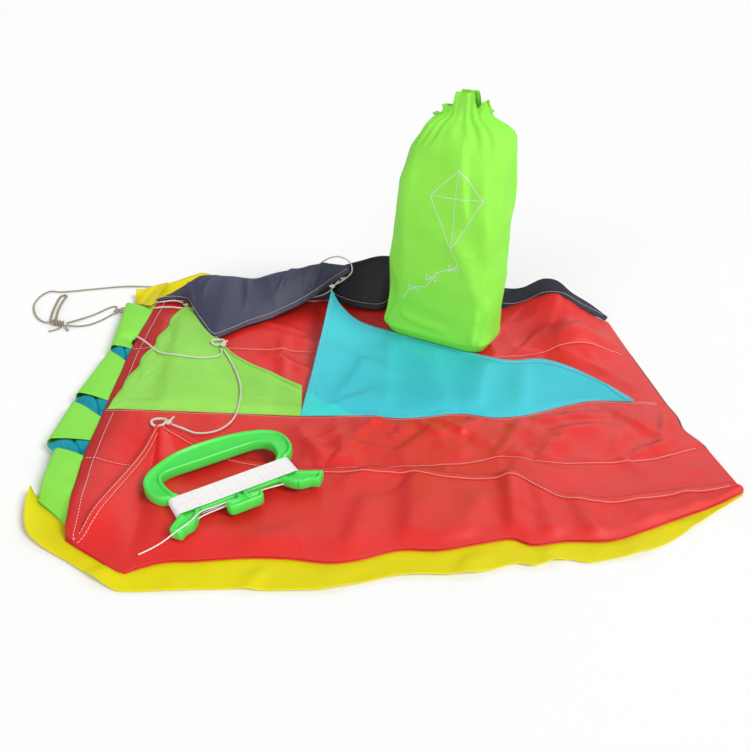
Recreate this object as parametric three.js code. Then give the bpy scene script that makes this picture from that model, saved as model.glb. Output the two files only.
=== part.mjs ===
// A frameless cell kite laid out with its bridle side up, with its line winder and its bag on top.
// Millimetres, +Z up, +X from the nose to the trailing edge, +Y from the near side to the far side.
import * as THREE from "three";

// Cloth and clearances
const CLOTH = 0.6;
const GAP = 0.4;
const KEEL_GAP = 1.2;
const SEAM_GAP = 0.5;

// Height of each layer of cloth above the floor
const RIB_Z = CLOTH + GAP;
const LOWER_Z = RIB_Z + CLOTH + GAP;
const KEEL_Z = LOWER_Z + CLOTH + KEEL_GAP;
const TOP_Z = KEEL_Z + CLOTH + 2 * GAP;

// Seams of the sail from the near side to the far side, nose first, as x and y
const SEAMS = [
  [[-205, -201], [-160, -216], [-30, -206], [150, -190], [225, -166], [276, -134]],
  [[-223, -112], [-140, -111], [-30, -109], [110, -98], [205, -93], [268, -80]],
  [[-227, -46], [-140, -42], [-30, -36], [110, -29], [205, -23], [258, -19]],
  [[-233, 56], [-140, 68], [-30, 72], [110, 62], [205, 66], [252, 64]],
  [[-233, 160], [-140, 176], [-30, 194], [110, 171], [200, 154], [248, 143]],
];

// Side panels: outer edges, and how far the panel tucks in under the sail
const NEAR_EDGE = [
  [-254, -142], [-250, -168], [-230, -193], [-166, -228], [-60, -230], [60, -217], [205, -184], [278, -139],
];
const NEAR_INNER = [
  [-247, -146], [-242, -171], [-213, -189], [-160, -206], [-50, -199], [60, -190], [205, -168], [270, -131],
];
const FAR_INNER = [[-270, 180], [-215, 162], [-140, 168], [-60, 181], [80, 168], [195, 148], [246, 137]];
const FAR_EDGE = [[-268, 200], [-215, 217], [-140, 229.5], [-60, 233], [80, 215], [195, 180], [248, 150]];
const SIDE_TUCK = 1;
const UPPER_CORNER = [-206, -182];

// Rise of the front of the sail towards the nose, and the loose folds behind
const NOSE_LIFT = 12.5;
const RAMP_START = -63;
const RAMP_LENGTH = 150;
const FOLDS = [
  { x: 196, y: 84, rise: 22, long: 32, wide: 27 },
  { x: 192, y: 180, rise: 17, long: 32, wide: 46 },
  { x: 178, y: -62, rise: 5, long: 34, wide: 30 },
  { x: 120, y: -128, rise: 4, long: 30, wide: 34 },
];

// Nose panels, each a half tube that curls over the front of one cell
const NOSE_WIDTHS = [[27, 30], [30, 33], [32, 35], [34, 45]];
const NOSE_HEIGHT = 14.2;
const NOSE_SHEAR = 0.35;
const NOSE_INSETS = [[24, 6], [6, 6], [6, 6], [6, 12]];
const NOSE_TUCKS = [-1, 3, 3, 3];

// Ribs between the skins
const RIB_HEIGHT = 12;
const RIB_REACH = 22;

// Cords, rings and knots
const CORD = 2;
const TOW_CORD = 2.6;
const RING_RADIUS = 6;
const RING_WIRE = 2.2;
const KNOT = 6;

// Line winder, lengths along and across its bar
const WINDER_X = -96;
const WINDER_Y = -153.9;
const WINDER_TURN = THREE.MathUtils.degToRad(32);
const WINDER_THICK = 9;
const WINDER_BEVEL = 1.4;
const RING_HALF = 58;
const NECK_STEP = 13;
const HANDLE_SIDE = 14.5;
const BAR_HALF = RING_HALF - NECK_STEP;
const BAR_WIDTH = 20;
const HOLE_WIDTH = 30;
const HOLE_HALF = RING_HALF - HANDLE_SIDE;
const HANDLE_WIDTH = 21;
const HORN_ROOT = BAR_HALF - NECK_STEP / 2;
const HORN_REACH = 20;
const HORN_DROP = 14;
const HORN_WIDTH = 11;
const CLEAT_HALF = 13.5;
const CLEAT_DEPTH = 8;
const CLEAT_STEM = 8;
const CLEAT_GAP = 5;

// Flying line on the winder
const LINE = 0.62;
const LINE_PITCH = 1.07;
const LINE_TURNS = 17;
const CORE_BUILD = 2.4;
const CORE_MARGIN = 1.2;

// Bag
const BAG_X = 71;
const BAG_Y = 114;
const BAG_LEAN = 0.025;
const BAG_TURN = THREE.MathUtils.degToRad(-30);
const BAG_WALL = 1;
const BAG_WIDTH = 122;
const BAG_DEPTH = 68;
const BAG_HEIGHT = 236;
const NECK_WIDTH = 26;
const NECK_DEPTH = 20;
const MOUTH_HEIGHT = 17;
const NECK_LEVEL = BAG_HEIGHT - MOUTH_HEIGHT;
const FRILLS = 7;
const DRAWCORD = 2.4;

// Colours
const RED = [0.62, 0.03, 0.05];
const YELLOW = [0.9, 0.75, 0.02];
const GREEN = [0.42, 0.8, 0.16];
const CYAN = [0.05, 0.6, 0.7];
const NAVY = [0.04, 0.05, 0.16];
const BLUE = [0.03, 0.25, 0.6];
const WHITE = [0.85, 0.84, 0.8];
const PLASTIC = [0.05, 0.6, 0.12];
const BAG_GREEN = [0.3, 0.82, 0.08];

const kite = new THREE.Group();

function add(name, geometry, colour, roughness = 0.7) {
  const material = new THREE.MeshStandardMaterial({ roughness, metalness: 0 });
  material.color.setRGB(...colour);
  const mesh = new THREE.Mesh(geometry, material);
  mesh.name = name;
  kite.add(mesh);
  return mesh;
}

function ease(from, to, value) {
  const t = Math.min(1, Math.max(0, (value - from) / (to - from)));
  return t * t * (3 - 2 * t);
}

function mix(a, b, t) {
  return a + (b - a) * t;
}

// Height of the underside of the lower skin above its layer, at a place on the sail
function lift(x, y) {
  const ramp = Math.max(0, (RAMP_START - x) / RAMP_LENGTH);
  const power = mix(6, 1, ease(-120, -72, y));
  let height = NOSE_LIFT * Math.min(1, ramp) ** power;
  for (const fold of FOLDS) {
    const along = (x - fold.x) / fold.long;
    const across = (y - fold.y) / fold.wide;
    height += fold.rise * Math.exp(-along * along - across * across) * ease(-6, 40, Math.abs(y + 27));
  }
  return height;
}

function route(points) {
  const spots = points.map((p) => new THREE.Vector3(p[0], p[1], p[2] ?? 0));
  return new THREE.CatmullRomCurve3(spots, false, "centripetal");
}

// Closed solid from a grid of triangles above and a grid below, with walls round the edge
function sheet(place, along, across, thickness = CLOTH) {
  const lower = [];
  for (let i = 0; i <= along; i += 1) {
    for (let j = 0; j <= across; j += 1) {
      lower.push(place(i / along, j / across));
    }
  }
  const at = (i, j) => i * (across + 1) + j;
  const normals = lower.map(() => new THREE.Vector3());
  const corners = [];
  for (let i = 0; i < along; i += 1) {
    for (let j = 0; j < across; j += 1) {
      corners.push([at(i, j), at(i + 1, j), at(i + 1, j + 1)]);
      corners.push([at(i, j), at(i + 1, j + 1), at(i, j + 1)]);
    }
  }
  for (const [a, b, c] of corners) {
    const side = lower[b].clone().sub(lower[a]);
    side.cross(lower[c].clone().sub(lower[a]));
    for (const corner of [a, b, c]) {
      normals[corner].add(side);
    }
  }
  const upper = lower.map((p, n) => p.clone().addScaledVector(normals[n].normalize(), thickness));
  const count = lower.length;
  const faces = [];
  for (const [a, b, c] of corners) {
    faces.push(a + count, b + count, c + count, a, c, b);
  }
  const rim = [];
  for (let i = 0; i < along; i += 1) {
    rim.push([at(i, 0), at(i + 1, 0)], [at(i + 1, across), at(i, across)]);
  }
  for (let j = 0; j < across; j += 1) {
    rim.push([at(along, j), at(along, j + 1)], [at(0, j + 1), at(0, j)]);
  }
  for (const [a, b] of rim) {
    faces.push(a, b, b + count, a, b + count, a + count);
  }
  const flat = [...lower, ...upper].flatMap((p) => [p.x, p.y, p.z]);
  const geometry = new THREE.BufferGeometry();
  geometry.setAttribute("position", new THREE.Float32BufferAttribute(flat, 3));
  geometry.setIndex(faces);
  return geometry;
}

// Sheet ruled from one edge to another; height(x, y, t) gives its underside
function ruled(front, back, height, along, across) {
  const from = route(front);
  const to = route(back);
  return sheet((u, v) => {
    const p = from.getPoint(u).lerp(to.getPoint(u), v);
    p.z += height(p.x, p.y, v);
    return p;
  }, along, across);
}

// Sheet that arches from one edge over a crest to its other edge
function arched(base, crest, free, along, across) {
  const a = route(base);
  const m = route(crest);
  const b = route(free);
  return sheet((u, v) => {
    const p = a.getPoint(u).multiplyScalar((1 - v) * (1 - 2 * v));
    p.addScaledVector(m.getPoint(u), 4 * v * (1 - v));
    return p.addScaledVector(b.getPoint(u), v * (2 * v - 1));
  }, along, across);
}

function shifted(points, dy) {
  return points.map(([x, y]) => [x, y + dy]);
}

function tube(points, diameter, steps) {
  const ring = new THREE.Shape();
  ring.absarc(0, 0, diameter / 2, 0, 2 * Math.PI);
  const path = route(points);
  return new THREE.ExtrudeGeometry(ring, { steps, extrudePath: path, curveSegments: 4, bevelEnabled: false });
}

// Lower skin, uppermost as the kite lies: four cells between five seams
for (let cell = 0; cell < 4; cell += 1) {
  const near = shifted(SEAMS[cell], SEAM_GAP / 2);
  const far = shifted(SEAMS[cell + 1], -SEAM_GAP / 2);
  const skin = ruled(near, far, (x, y) => LOWER_Z + lift(x, y), 16, 4);
  add(`lower_panel_${cell + 1}`, skin, RED);
}

// Upper skin, flat on the floor under the cells
for (let cell = 0; cell < 4; cell += 1) {
  let near = shifted(SEAMS[cell], SEAM_GAP / 2);
  let far = shifted(SEAMS[cell + 1], -SEAM_GAP / 2);
  if (cell === 0) {
    near = [UPPER_CORNER, ...shifted(NEAR_INNER.slice(3), SIDE_TUCK)];
  }
  if (cell === 3) {
    far = shifted(FAR_INNER.slice(1), -2 * SIDE_TUCK);
  }
  add(`upper_panel_${cell + 1}`, ruled(near, far, () => 0, 10, 1), NAVY);
}

// Side panels
add("side_panel_near", ruled(NEAR_EDGE, NEAR_INNER, () => 0, 20, 1), YELLOW);
add("side_panel_far", ruled(FAR_INNER, FAR_EDGE, () => 0, 18, 1), YELLOW);

// Nose panels
const noseRadius = (NOSE_HEIGHT - CLOTH) / 2;
for (let cell = 0; cell < 4; cell += 1) {
  const from = SEAMS[cell][0];
  const to = SEAMS[cell + 1][0];
  const span = to[1] - from[1];
  const start = NOSE_INSETS[cell][0] / span;
  const end = 1 - NOSE_INSETS[cell][1] / span;
  const curl = Math.PI * noseRadius;
  const profile = (u, v) => {
    const flatLength = mix(...NOSE_WIDTHS[cell], u) - noseRadius;
    const total = 2 * flatLength + NOSE_TUCKS[cell] + curl - SEAM_GAP;
    const s = SEAM_GAP + v * total;
    if (s < flatLength) {
      return [s, 0];
    }
    if (s < flatLength + curl) {
      const turn = (s - flatLength) / noseRadius;
      return [flatLength + noseRadius * Math.sin(turn), noseRadius * (1 - Math.cos(turn))];
    }
    return [flatLength - (s - flatLength - curl), 2 * noseRadius];
  };
  const half = sheet((u, v) => {
    const [out, up] = profile(u, v);
    const t = mix(start, end, u);
    const x = mix(from[0], to[0], t) - out;
    return new THREE.Vector3(x, mix(from[1], to[1], t) + out * NOSE_SHEAR, up);
  }, 3, 14);
  add(`nose_panel_${cell + 1}`, half, GREEN);
}

// Ribs, folded flat between the skins with their front ends standing in the gaps of the nose
for (let seam = 1; seam < 4; seam += 1) {
  const line = route(SEAMS[seam]);
  const strip = sheet((u, v) => {
    const back = ease(0, 0.12, u);
    const t = Math.max(0, (u - 0.06) / 0.94) * 0.97;
    const p = line.getPoint(t);
    const out = RIB_REACH * Math.max(0, 1 - u / 0.06);
    const rise = (1 - back) ** 2 * RIB_HEIGHT * (1 - v);
    const lie = back * RIB_HEIGHT * (1 - v);
    return new THREE.Vector3(p.x - out, p.y + out * NOSE_SHEAR - lie, RIB_Z + rise);
  }, 26, 1);
  add(`rib_${seam}`, strip, BLUE);
}

// Near keel, lying on the first cell
const NEAR_KEEL_BASE = [[-203, -199], [-160, -214], [-30, -204], [150, -188], [225, -164], [270, -134]];
const NEAR_KEEL_FREE = [[-178, -63], [-112, -97], [-30, -108], [100, -119], [170, -142], [266, -128]];
const onSail = (x, y) => KEEL_Z + lift(x, y);
add("near_keel", ruled(NEAR_KEEL_BASE, NEAR_KEEL_FREE, onSail, 20, 5), RED);

// Front middle keel
const MID_FRONT_BASE = [[-224, -46], [-63, -38]];
const MID_FRONT_FREE = [[-222, -34], [-212, 60], [-197, 140], [-137, 56], [-66, 6]];
add("mid_front_keel", ruled(MID_FRONT_BASE, MID_FRONT_FREE, onSail, 16, 5), GREEN);

// Rear middle keel
const MID_REAR_BASE = [[-58, -37.5], [228, -21]];
const MID_REAR_FREE = [
  [-50, 152, 14], [-20, 141, 6], [3, 126, 2], [4, 110], [44, 84], [102, 52, 0.5], [148, 50, 2.4],
  [190, 31, 2], [226, -14],
];
add("mid_rear_keel", ruled(MID_REAR_BASE, MID_REAR_FREE, onSail, 16, 5), CYAN);

function seated(points) {
  return points.map(([x, y]) => [x, y, LOWER_Z + CLOTH + GAP + lift(x, y)]);
}

// Far front keel, flopped over towards the near side
const FAR_FRONT_BASE = [
  [-228, 160.4], [-206, 164], [-180, 168], [-140, 174.8], [-95, 182], [-50, 189],
];
const FAR_FRONT_CREST = [
  [-227, 161, 30], [-204, 163, 44], [-178, 160, 46], [-138, 167, 46], [-92, 180, 45], [-44, 189, 42],
];
const FAR_FRONT_FREE = [
  [-229, 154, 24], [-205, 150, 21], [-184, 116, 17.5], [-152, 72, 13.5], [-98, 140, 13], [-42, 177, 28],
];
add("far_front_keel", arched(seated(FAR_FRONT_BASE), FAR_FRONT_CREST, FAR_FRONT_FREE, 16, 6), NAVY);

// Far rear keel, standing along the far edge behind the bag
const FAR_REAR_BASE = [
  [-34, 195.4], [20, 187.4], [70, 179.2], [125, 169.6], [185, 158.4], [243, 145.8],
];
const FAR_REAR_CREST = [
  [-30, 197, 46], [22, 190, 46], [72, 182, 42], [127, 167, 38], [186, 156, 37], [240, 144, 14],
];
const FAR_REAR_FREE = [
  [-30, 180, 32], [20, 178, 33], [68, 176, 30], [123, 158, 30], [182, 147, 32], [236, 141, 15],
];
add("far_rear_keel", arched(seated(FAR_REAR_BASE), FAR_REAR_CREST, FAR_REAR_FREE, 16, 6), NAVY);

// Rings on the tips of the near keel and the far front keel
function ringAt(name, x, y, z) {
  const torus = new THREE.TorusGeometry(RING_RADIUS, RING_WIRE / 2, 6, 16);
  torus.translate(x, y, z + RING_WIRE / 2);
  add(name, torus, WHITE, 0.5);
}
ringAt("near_keel_ring", -172, -71, onSail(-179, -68) + CLOTH + GAP);
ringAt("far_front_keel_ring", -149, 60, onSail(-156, 60) + CLOTH + GAP);

// Knots: the ends of the cords on the other keels, and the two knots of the bridle
function knotAt(name, x, y, z, size = KNOT) {
  const lump = new THREE.SphereGeometry(size / 2, 10, 7);
  lump.scale(1.25, 1, 0.8);
  lump.translate(x, y, z);
  add(name, lump, WHITE, 0.8);
}
knotAt("mid_front_keel_knot", -199, 147, onSail(-199, 147) + 2.8);
knotAt("mid_rear_keel_knot", -49, 155.5, onSail(-49, 155) + 14.3);
knotAt("far_rear_keel_knot", -34.3, 180.5, 32.5);
knotAt("gather_knot", -288, 164, KNOT * 0.4);
knotAt("tow_knot", -328, 131, KNOT * 0.4);

// Bridle cords, each along the way it lies
const ON_SAIL = CLOTH + GAP + CORD / 2;
const over = (x, y, more = 0) => [x, y, onSail(x, y) + ON_SAIL + more];
const FLOOR = CORD / 2 + 0.2;
add("bridle_near", tube([
  over(-163, -74), over(-148, -75), over(-130, -70), over(-119, -53), over(-117, -22), over(-121, 2),
  over(-131, 29), over(-142, 49),
], CORD, 12), WHITE);
add("bridle_far_front", tube([
  over(-158, 58), over(-172, 53), over(-197, 57), over(-219, 67), [-238, 85, 18.5], [-254, 104, 17.5],
  [-268, 126, 17], [-279, 142, 15.5], [-286, 151, 9], [-289, 158, 3.4],
], CORD, 12), WHITE);
add("bridle_mid_front", tube([
  [-203, 149, 19], [-213, 154, 20.4], [-231, 154, 20], [-247, 151, 18], [-266, 156, 17.4], [-281, 162, 12],
  [-290, 168, 4.6],
], CORD, 8), WHITE);
add("bridle_far_rear", tube([
  [-39, 180, 31], [-52, 178, 17], [-72, 173, 13], [-100, 168, 14], [-140, 160, 17], [-178, 143, 18],
  [-199, 138, 18], [-216, 142, 19], [-231, 147, 20], [-247, 145, 18], [-266, 149, 17.4], [-280, 156, 14],
  [-286.5, 160.5, 6.4],
], CORD, 12), WHITE);
add("bridle_mid_rear", tube([
  [-45, 160, 20], [-43.5, 172, 33], [-40, 187, 47], [-48, 199, 48], [-66, 206, 34], [-86, 212, 12],
  [-102, 215, 5], [-122, 216, FLOOR + 1.4], [-165, 214, FLOOR + 1], [-225, 219, FLOOR + 1],
  [-270, 224, FLOOR + 0.6], [-300, 228, FLOOR], [-333, 220, FLOOR], [-358, 214, FLOOR], [-374, 215, FLOOR],
  [-379, 200, FLOOR], [-372, 172, FLOOR], [-356, 146, FLOOR], [-343, 135, FLOOR], [-333, 132, FLOOR + 1],
], CORD, 30), WHITE);
add("bridle_trunk_a", tube([
  [-323.9, 133.2, 2.8], [-311, 150, FLOOR], [-303, 164, FLOOR], [-292.4, 165.4, 2.4],
], CORD, 5), WHITE);
add("bridle_trunk_b", tube([
  [-323.8, 129.4, 2.4], [-305, 130, FLOOR], [-294, 138, FLOOR], [-290, 150, FLOOR], [-291.5, 159.5, 2],
], CORD, 6), WHITE);

// Tow loop, a flattened loop of thicker cord, and the tail of its knot
const TOW_Z = TOW_CORD / 2 + 0.2;
add("tow_loop", tube([
  [-330.6, 134.2, 2.8], [-343, 165, TOW_Z], [-352, 196, TOW_Z], [-352, 206, TOW_Z], [-347.5, 204, TOW_Z],
  [-345, 190, TOW_Z], [-338, 165, TOW_Z], [-327.2, 134.6, 2.8],
], TOW_CORD, 16), WHITE);
add("tow_tail", tube([
  [-330.6, 127.9, 2.2], [-337, 122, FLOOR], [-346, 120, FLOOR], [-352, 122, FLOOR],
], CORD, 4), WHITE);

// Line winder, one moulding: handle with a finger hole, bar with two necks, two horns and a cleat
function rounded(path, corners) {
  const count = corners.length;
  corners.forEach(([x, y, radius], n) => {
    const before = corners[(n + count - 1) % count];
    const after = corners[(n + 1) % count];
    const toBefore = new THREE.Vector2(before[0] - x, before[1] - y).normalize().multiplyScalar(radius);
    const toAfter = new THREE.Vector2(after[0] - x, after[1] - y).normalize().multiplyScalar(radius);
    if (n === 0) {
      path.moveTo(x + toBefore.x, y + toBefore.y);
    } else {
      path.lineTo(x + toBefore.x, y + toBefore.y);
    }
    path.quadraticCurveTo(x, y, x + toAfter.x, y + toAfter.y);
  });
  path.closePath();
  return path;
}
const holeTop = BAR_WIDTH + HOLE_WIDTH;
const handleTop = holeTop + HANDLE_WIDTH;
const tip = HORN_ROOT + HORN_REACH;
const half = HORN_WIDTH * Math.SQRT1_2 / 2;
const cleatTop = -CLEAT_GAP;
const cleatLow = -CLEAT_GAP - CLEAT_DEPTH;
const rightSide = [
  [CLEAT_HALF, cleatLow, 5], [CLEAT_HALF, cleatTop, 2], [CLEAT_STEM / 2, cleatTop, 1],
  [CLEAT_STEM / 2, 0, 1], [HORN_ROOT - 2 * half, 0, 4], [tip - half, -HORN_DROP - half, 2.5],
  [tip + half, -HORN_DROP + half, 2.5], [BAR_HALF, 0, 1], [BAR_HALF, BAR_WIDTH, 1],
  [RING_HALF, BAR_WIDTH + 3, 5], [RING_HALF, handleTop - 14, 13], [RING_HALF - 26, handleTop, 13],
];
const leftSide = rightSide.map(([x, y, radius]) => [-x, y, radius]).reverse();
const plan = rounded(new THREE.Shape(), [...rightSide, ...leftSide]);
plan.holes.push(rounded(new THREE.Path(), [
  [-HOLE_HALF, BAR_WIDTH, 9], [-HOLE_HALF, holeTop - 6, 10], [-HOLE_HALF + 22, holeTop, 10],
  [HOLE_HALF - 22, holeTop, 10], [HOLE_HALF, holeTop - 6, 10], [HOLE_HALF, BAR_WIDTH, 9],
]));
const moulding = new THREE.ExtrudeGeometry(plan, {
  depth: WINDER_THICK - 2 * WINDER_BEVEL,
  bevelThickness: WINDER_BEVEL,
  bevelSize: WINDER_BEVEL,
  bevelOffset: -WINDER_BEVEL,
  bevelSegments: 1,
  curveSegments: 4,
});
const lineBuild = CORE_BUILD + 2 * GAP + LINE;
const winderPlace = new THREE.Matrix4().makeRotationZ(WINDER_TURN);
winderPlace.setPosition(WINDER_X, WINDER_Y, TOP_Z + lineBuild);
moulding.translate(0, 0, WINDER_BEVEL);
add("winder", moulding.applyMatrix4(winderPlace), PLASTIC, 0.35);

// Line on the winder: a plain core round the bar, and one unbroken outer layer of line
const upright = new THREE.Matrix4().makeRotationX(Math.PI / 2);
function racetrack(path, length, height, radius) {
  return rounded(path, [
    [length, -height, radius], [length, height, radius], [-length, height, radius], [-length, -height, radius],
  ]);
}
const innerLength = BAR_HALF + GAP;
const innerHeight = WINDER_THICK / 2 + GAP;
const coreShape = racetrack(new THREE.Shape(), innerLength + CORE_BUILD, innerHeight + CORE_BUILD, 5);
coreShape.holes.push(racetrack(new THREE.Path(), innerLength, innerHeight, 2));
const coreWidth = BAR_WIDTH - 2 * CORE_MARGIN;
const coreSteps = { depth: coreWidth, bevelEnabled: false, curveSegments: 3 };
const core = new THREE.ExtrudeGeometry(coreShape, coreSteps);
core.applyMatrix4(upright).translate(0, BAR_WIDTH - CORE_MARGIN, WINDER_THICK / 2);
add("line_core", core.applyMatrix4(winderPlace), WHITE, 0.8);

function winding() {
  const sides = 5;
  const out = CORE_BUILD + GAP + LINE / 2;
  const long = innerLength + out;
  const high = innerHeight + out;
  const bend = 5;
  const first = (BAR_WIDTH - LINE_PITCH * LINE_TURNS) / 2;
  const corners = [[1, 1, 0], [-1, 1, 90], [-1, -1, 180], [1, -1, 270]];
  const spots = [];
  for (let turn = 0; turn < LINE_TURNS; turn += 1) {
    corners.forEach(([sx, sz, from], quarter) => {
      for (const step of [10, 45, 80]) {
        const angle = THREE.MathUtils.degToRad(from + step);
        const normal = new THREE.Vector3(Math.cos(angle), 0, Math.sin(angle));
        const done = turn + (quarter + step / 90) / 4;
        const centre = new THREE.Vector3(sx * (long - bend), first + LINE_PITCH * done, sz * (high - bend));
        spots.push([centre.addScaledVector(normal, bend), normal]);
      }
    });
  }
  const flat = [];
  spots.forEach(([centre, normal]) => {
    for (let side = 0; side < sides; side += 1) {
      const angle = (2 * Math.PI * side) / sides;
      const p = centre.clone().addScaledVector(normal, (Math.cos(angle) * LINE) / 2);
      flat.push(p.x, p.y + (Math.sin(angle) * LINE) / 2, p.z + WINDER_THICK / 2);
    }
  });
  const faces = [];
  const last = spots.length - 1;
  for (let n = 0; n < last; n += 1) {
    for (let side = 0; side < sides; side += 1) {
      const a = n * sides + side;
      const b = n * sides + ((side + 1) % sides);
      faces.push(a, b, a + sides, b, b + sides, a + sides);
    }
  }
  for (let side = 1; side < sides - 1; side += 1) {
    faces.push(0, side + 1, side);
    faces.push(last * sides, last * sides + side, last * sides + side + 1);
  }
  console.log(`line winding: gap between turns ${(LINE_PITCH - LINE).toFixed(2)} mm`);
  const geometry = new THREE.BufferGeometry();
  geometry.setAttribute("position", new THREE.Float32BufferAttribute(flat, 3));
  geometry.setIndex(faces);
  return geometry;
}
add("line_winding", winding().applyMatrix4(winderPlace), WHITE, 0.8);
const hornTop = TOP_Z + lineBuild + WINDER_THICK + GAP + LINE;
add("line_tail", tube([
  [-129, -182, hornTop], [-138, -189.5, hornTop + 0.4], [-147, -195, hornTop - 2], [-153, -200, TOP_Z + 5],
  [-159, -205, TOP_Z + 1.4],
], LINE * 1.6, 8), WHITE);

// Bag: a thin shell that stands on the sail, drawn in to a narrow neck under a ruffled mouth
const BAG_LEVELS = [
  [0, 0.84, 0.82, 3.6], [0.03, 0.9, 0.88, 3.6], [0.12, 0.94, 0.91, 3.2], [0.3, 0.98, 0.97, 2.7],
  [0.5, 0.93, 0.98, 2.6], [0.68, 0.87, 0.95, 2.5], [0.79, 0.81, 0.87, 2.4], [0.86, 0.66, 0.7, 2.2],
  [0.905, 0.44, 0.48, 2],
];
const neckAt = NECK_LEVEL / BAG_HEIGHT;
const grooveHalf = (DRAWCORD * 0.9) / BAG_HEIGHT;
const MOUTH = [
  [neckAt - grooveHalf, 1, 0], [neckAt + grooveHalf, 1, 0], [mix(neckAt, 1, 0.5), 1.1, 0.14], [1, 1.25, 0.24],
];
const leanAt = (level) => BAG_LEAN * level * BAG_HEIGHT;
function bagRing([level, wide, deep, power], inset) {
  const spots = [];
  const a = (BAG_WIDTH / 2) * wide - inset;
  const b = (BAG_DEPTH / 2) * deep - inset;
  for (let n = 0; n < 28; n += 1) {
    const angle = (2 * Math.PI * n) / 28;
    const c = Math.cos(angle);
    const s = Math.sin(angle);
    const x = Math.sign(c) * a * Math.abs(c) ** (2 / power);
    const y = Math.sign(s) * b * Math.abs(s) ** (2 / power);
    spots.push(new THREE.Vector3(x + leanAt(level), y, level * BAG_HEIGHT));
  }
  return spots;
}
function mouthRing([level, flare, ruffle], inset) {
  const spots = [];
  for (let n = 0; n < 28; n += 1) {
    const angle = (2 * Math.PI * n) / 28;
    const wave = flare * (1 + ruffle * Math.cos(FRILLS * angle));
    const x = ((NECK_WIDTH / 2) * wave - inset) * Math.cos(angle);
    const y = ((NECK_DEPTH / 2) * wave - inset) * Math.sin(angle);
    spots.push(new THREE.Vector3(x + leanAt(level), y, level * BAG_HEIGHT));
  }
  return spots;
}
function bagShell() {
  const outer = [...BAG_LEVELS.map((r) => bagRing(r, 0)), ...MOUTH.map((r) => mouthRing(r, 0))];
  const inner = [
    ...BAG_LEVELS.map((r) => bagRing(r, BAG_WALL)),
    ...MOUTH.map((r) => mouthRing(r, BAG_WALL)),
  ];
  inner[0].forEach((p) => p.setZ(BAG_WALL));
  const rings = [...outer, ...inner.reverse()];
  const flat = rings.flat().flatMap((p) => [p.x, p.y, p.z]);
  const faces = [];
  for (let r = 0; r < rings.length - 1; r += 1) {
    for (let n = 0; n < 28; n += 1) {
      const a = r * 28 + n;
      const b = r * 28 + ((n + 1) % 28);
      faces.push(a, b, b + 28, a, b + 28, a + 28);
    }
  }
  const below = flat.length / 3;
  flat.push(0, 0, 0, 0, 0, BAG_WALL);
  const top = (rings.length - 1) * 28;
  for (let n = 0; n < 28; n += 1) {
    const next = (n + 1) % 28;
    faces.push(below, next, n);
    faces.push(below + 1, top + n, top + next);
  }
  const geometry = new THREE.BufferGeometry();
  geometry.setAttribute("position", new THREE.Float32BufferAttribute(flat, 3));
  geometry.setIndex(faces);
  return geometry;
}
const bagPlace = new THREE.Matrix4().makeRotationZ(BAG_TURN);
bagPlace.setPosition(BAG_X, BAG_Y, LOWER_Z + CLOTH + GAP);
add("bag", bagShell().applyMatrix4(bagPlace), BAG_GREEN, 0.6);

// Drawcord round the neck, with its knot
const loop = new THREE.TorusGeometry(2, 1, 6, 20);
const spots = loop.attributes.position;
for (let n = 0; n < spots.count; n += 1) {
  const turn = Math.atan2(spots.getY(n), spots.getX(n));
  const side = Math.hypot(spots.getX(n), spots.getY(n)) - 2;
  const reach = GAP + DRAWCORD / 2 + (side * DRAWCORD) / 2;
  const x = (NECK_WIDTH / 2 + reach) * Math.cos(turn);
  const y = (NECK_DEPTH / 2 + reach) * Math.sin(turn);
  spots.setXYZ(n, x + leanAt(neckAt), y, NECK_LEVEL + (spots.getZ(n) * DRAWCORD) / 2);
}
add("drawcord", loop.applyMatrix4(bagPlace), BAG_GREEN, 0.7);
const drawKnot = new THREE.SphereGeometry(KNOT / 2, 10, 7);
drawKnot.translate(leanAt(neckAt) - NECK_WIDTH / 2 - DRAWCORD - 2 * GAP - KNOT / 2, 0, NECK_LEVEL);
add("drawcord_knot", drawKnot.applyMatrix4(bagPlace), [0.12, 0.3, 0.05], 0.8);

export default kite;
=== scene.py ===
"""A frameless cell kite laid out with its bridle side up, with its line winder and its bag on it."""
import math

import bpy
import numpy as np
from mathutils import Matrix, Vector
from mathutils.geometry import delaunay_2d_cdt


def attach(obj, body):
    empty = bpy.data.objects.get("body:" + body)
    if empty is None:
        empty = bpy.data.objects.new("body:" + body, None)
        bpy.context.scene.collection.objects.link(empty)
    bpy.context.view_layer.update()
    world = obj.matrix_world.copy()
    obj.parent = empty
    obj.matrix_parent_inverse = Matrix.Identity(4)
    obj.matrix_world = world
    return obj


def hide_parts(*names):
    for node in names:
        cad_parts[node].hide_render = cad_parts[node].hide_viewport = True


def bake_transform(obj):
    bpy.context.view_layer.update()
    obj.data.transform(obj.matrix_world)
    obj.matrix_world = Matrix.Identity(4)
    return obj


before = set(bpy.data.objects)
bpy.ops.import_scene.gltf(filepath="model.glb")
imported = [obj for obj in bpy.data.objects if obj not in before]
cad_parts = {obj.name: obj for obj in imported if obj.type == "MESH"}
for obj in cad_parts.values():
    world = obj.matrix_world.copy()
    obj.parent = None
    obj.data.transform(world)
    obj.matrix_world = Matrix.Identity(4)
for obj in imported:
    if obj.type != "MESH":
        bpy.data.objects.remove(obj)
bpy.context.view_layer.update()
scene = bpy.context.scene
scene.view_settings.view_transform = "Standard"


# Camera: it stands on the near side of the kite and looks down on it. Its place and its tilt were
# fitted to the winder, the bag and the outline of the sail together.
EYE_PLACE, LOOK_DOWN = (0, -0.567, 0.368), 31.5
eye = bpy.data.objects.new("camera", bpy.data.cameras.new("camera"))
eye.data.lens = 36
eye.data.sensor_width = 36
eye.location = EYE_PLACE
eye.rotation_euler = (math.radians(90 - LOOK_DOWN), 0, 0)
scene.collection.objects.link(eye)
scene.camera = eye


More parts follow.
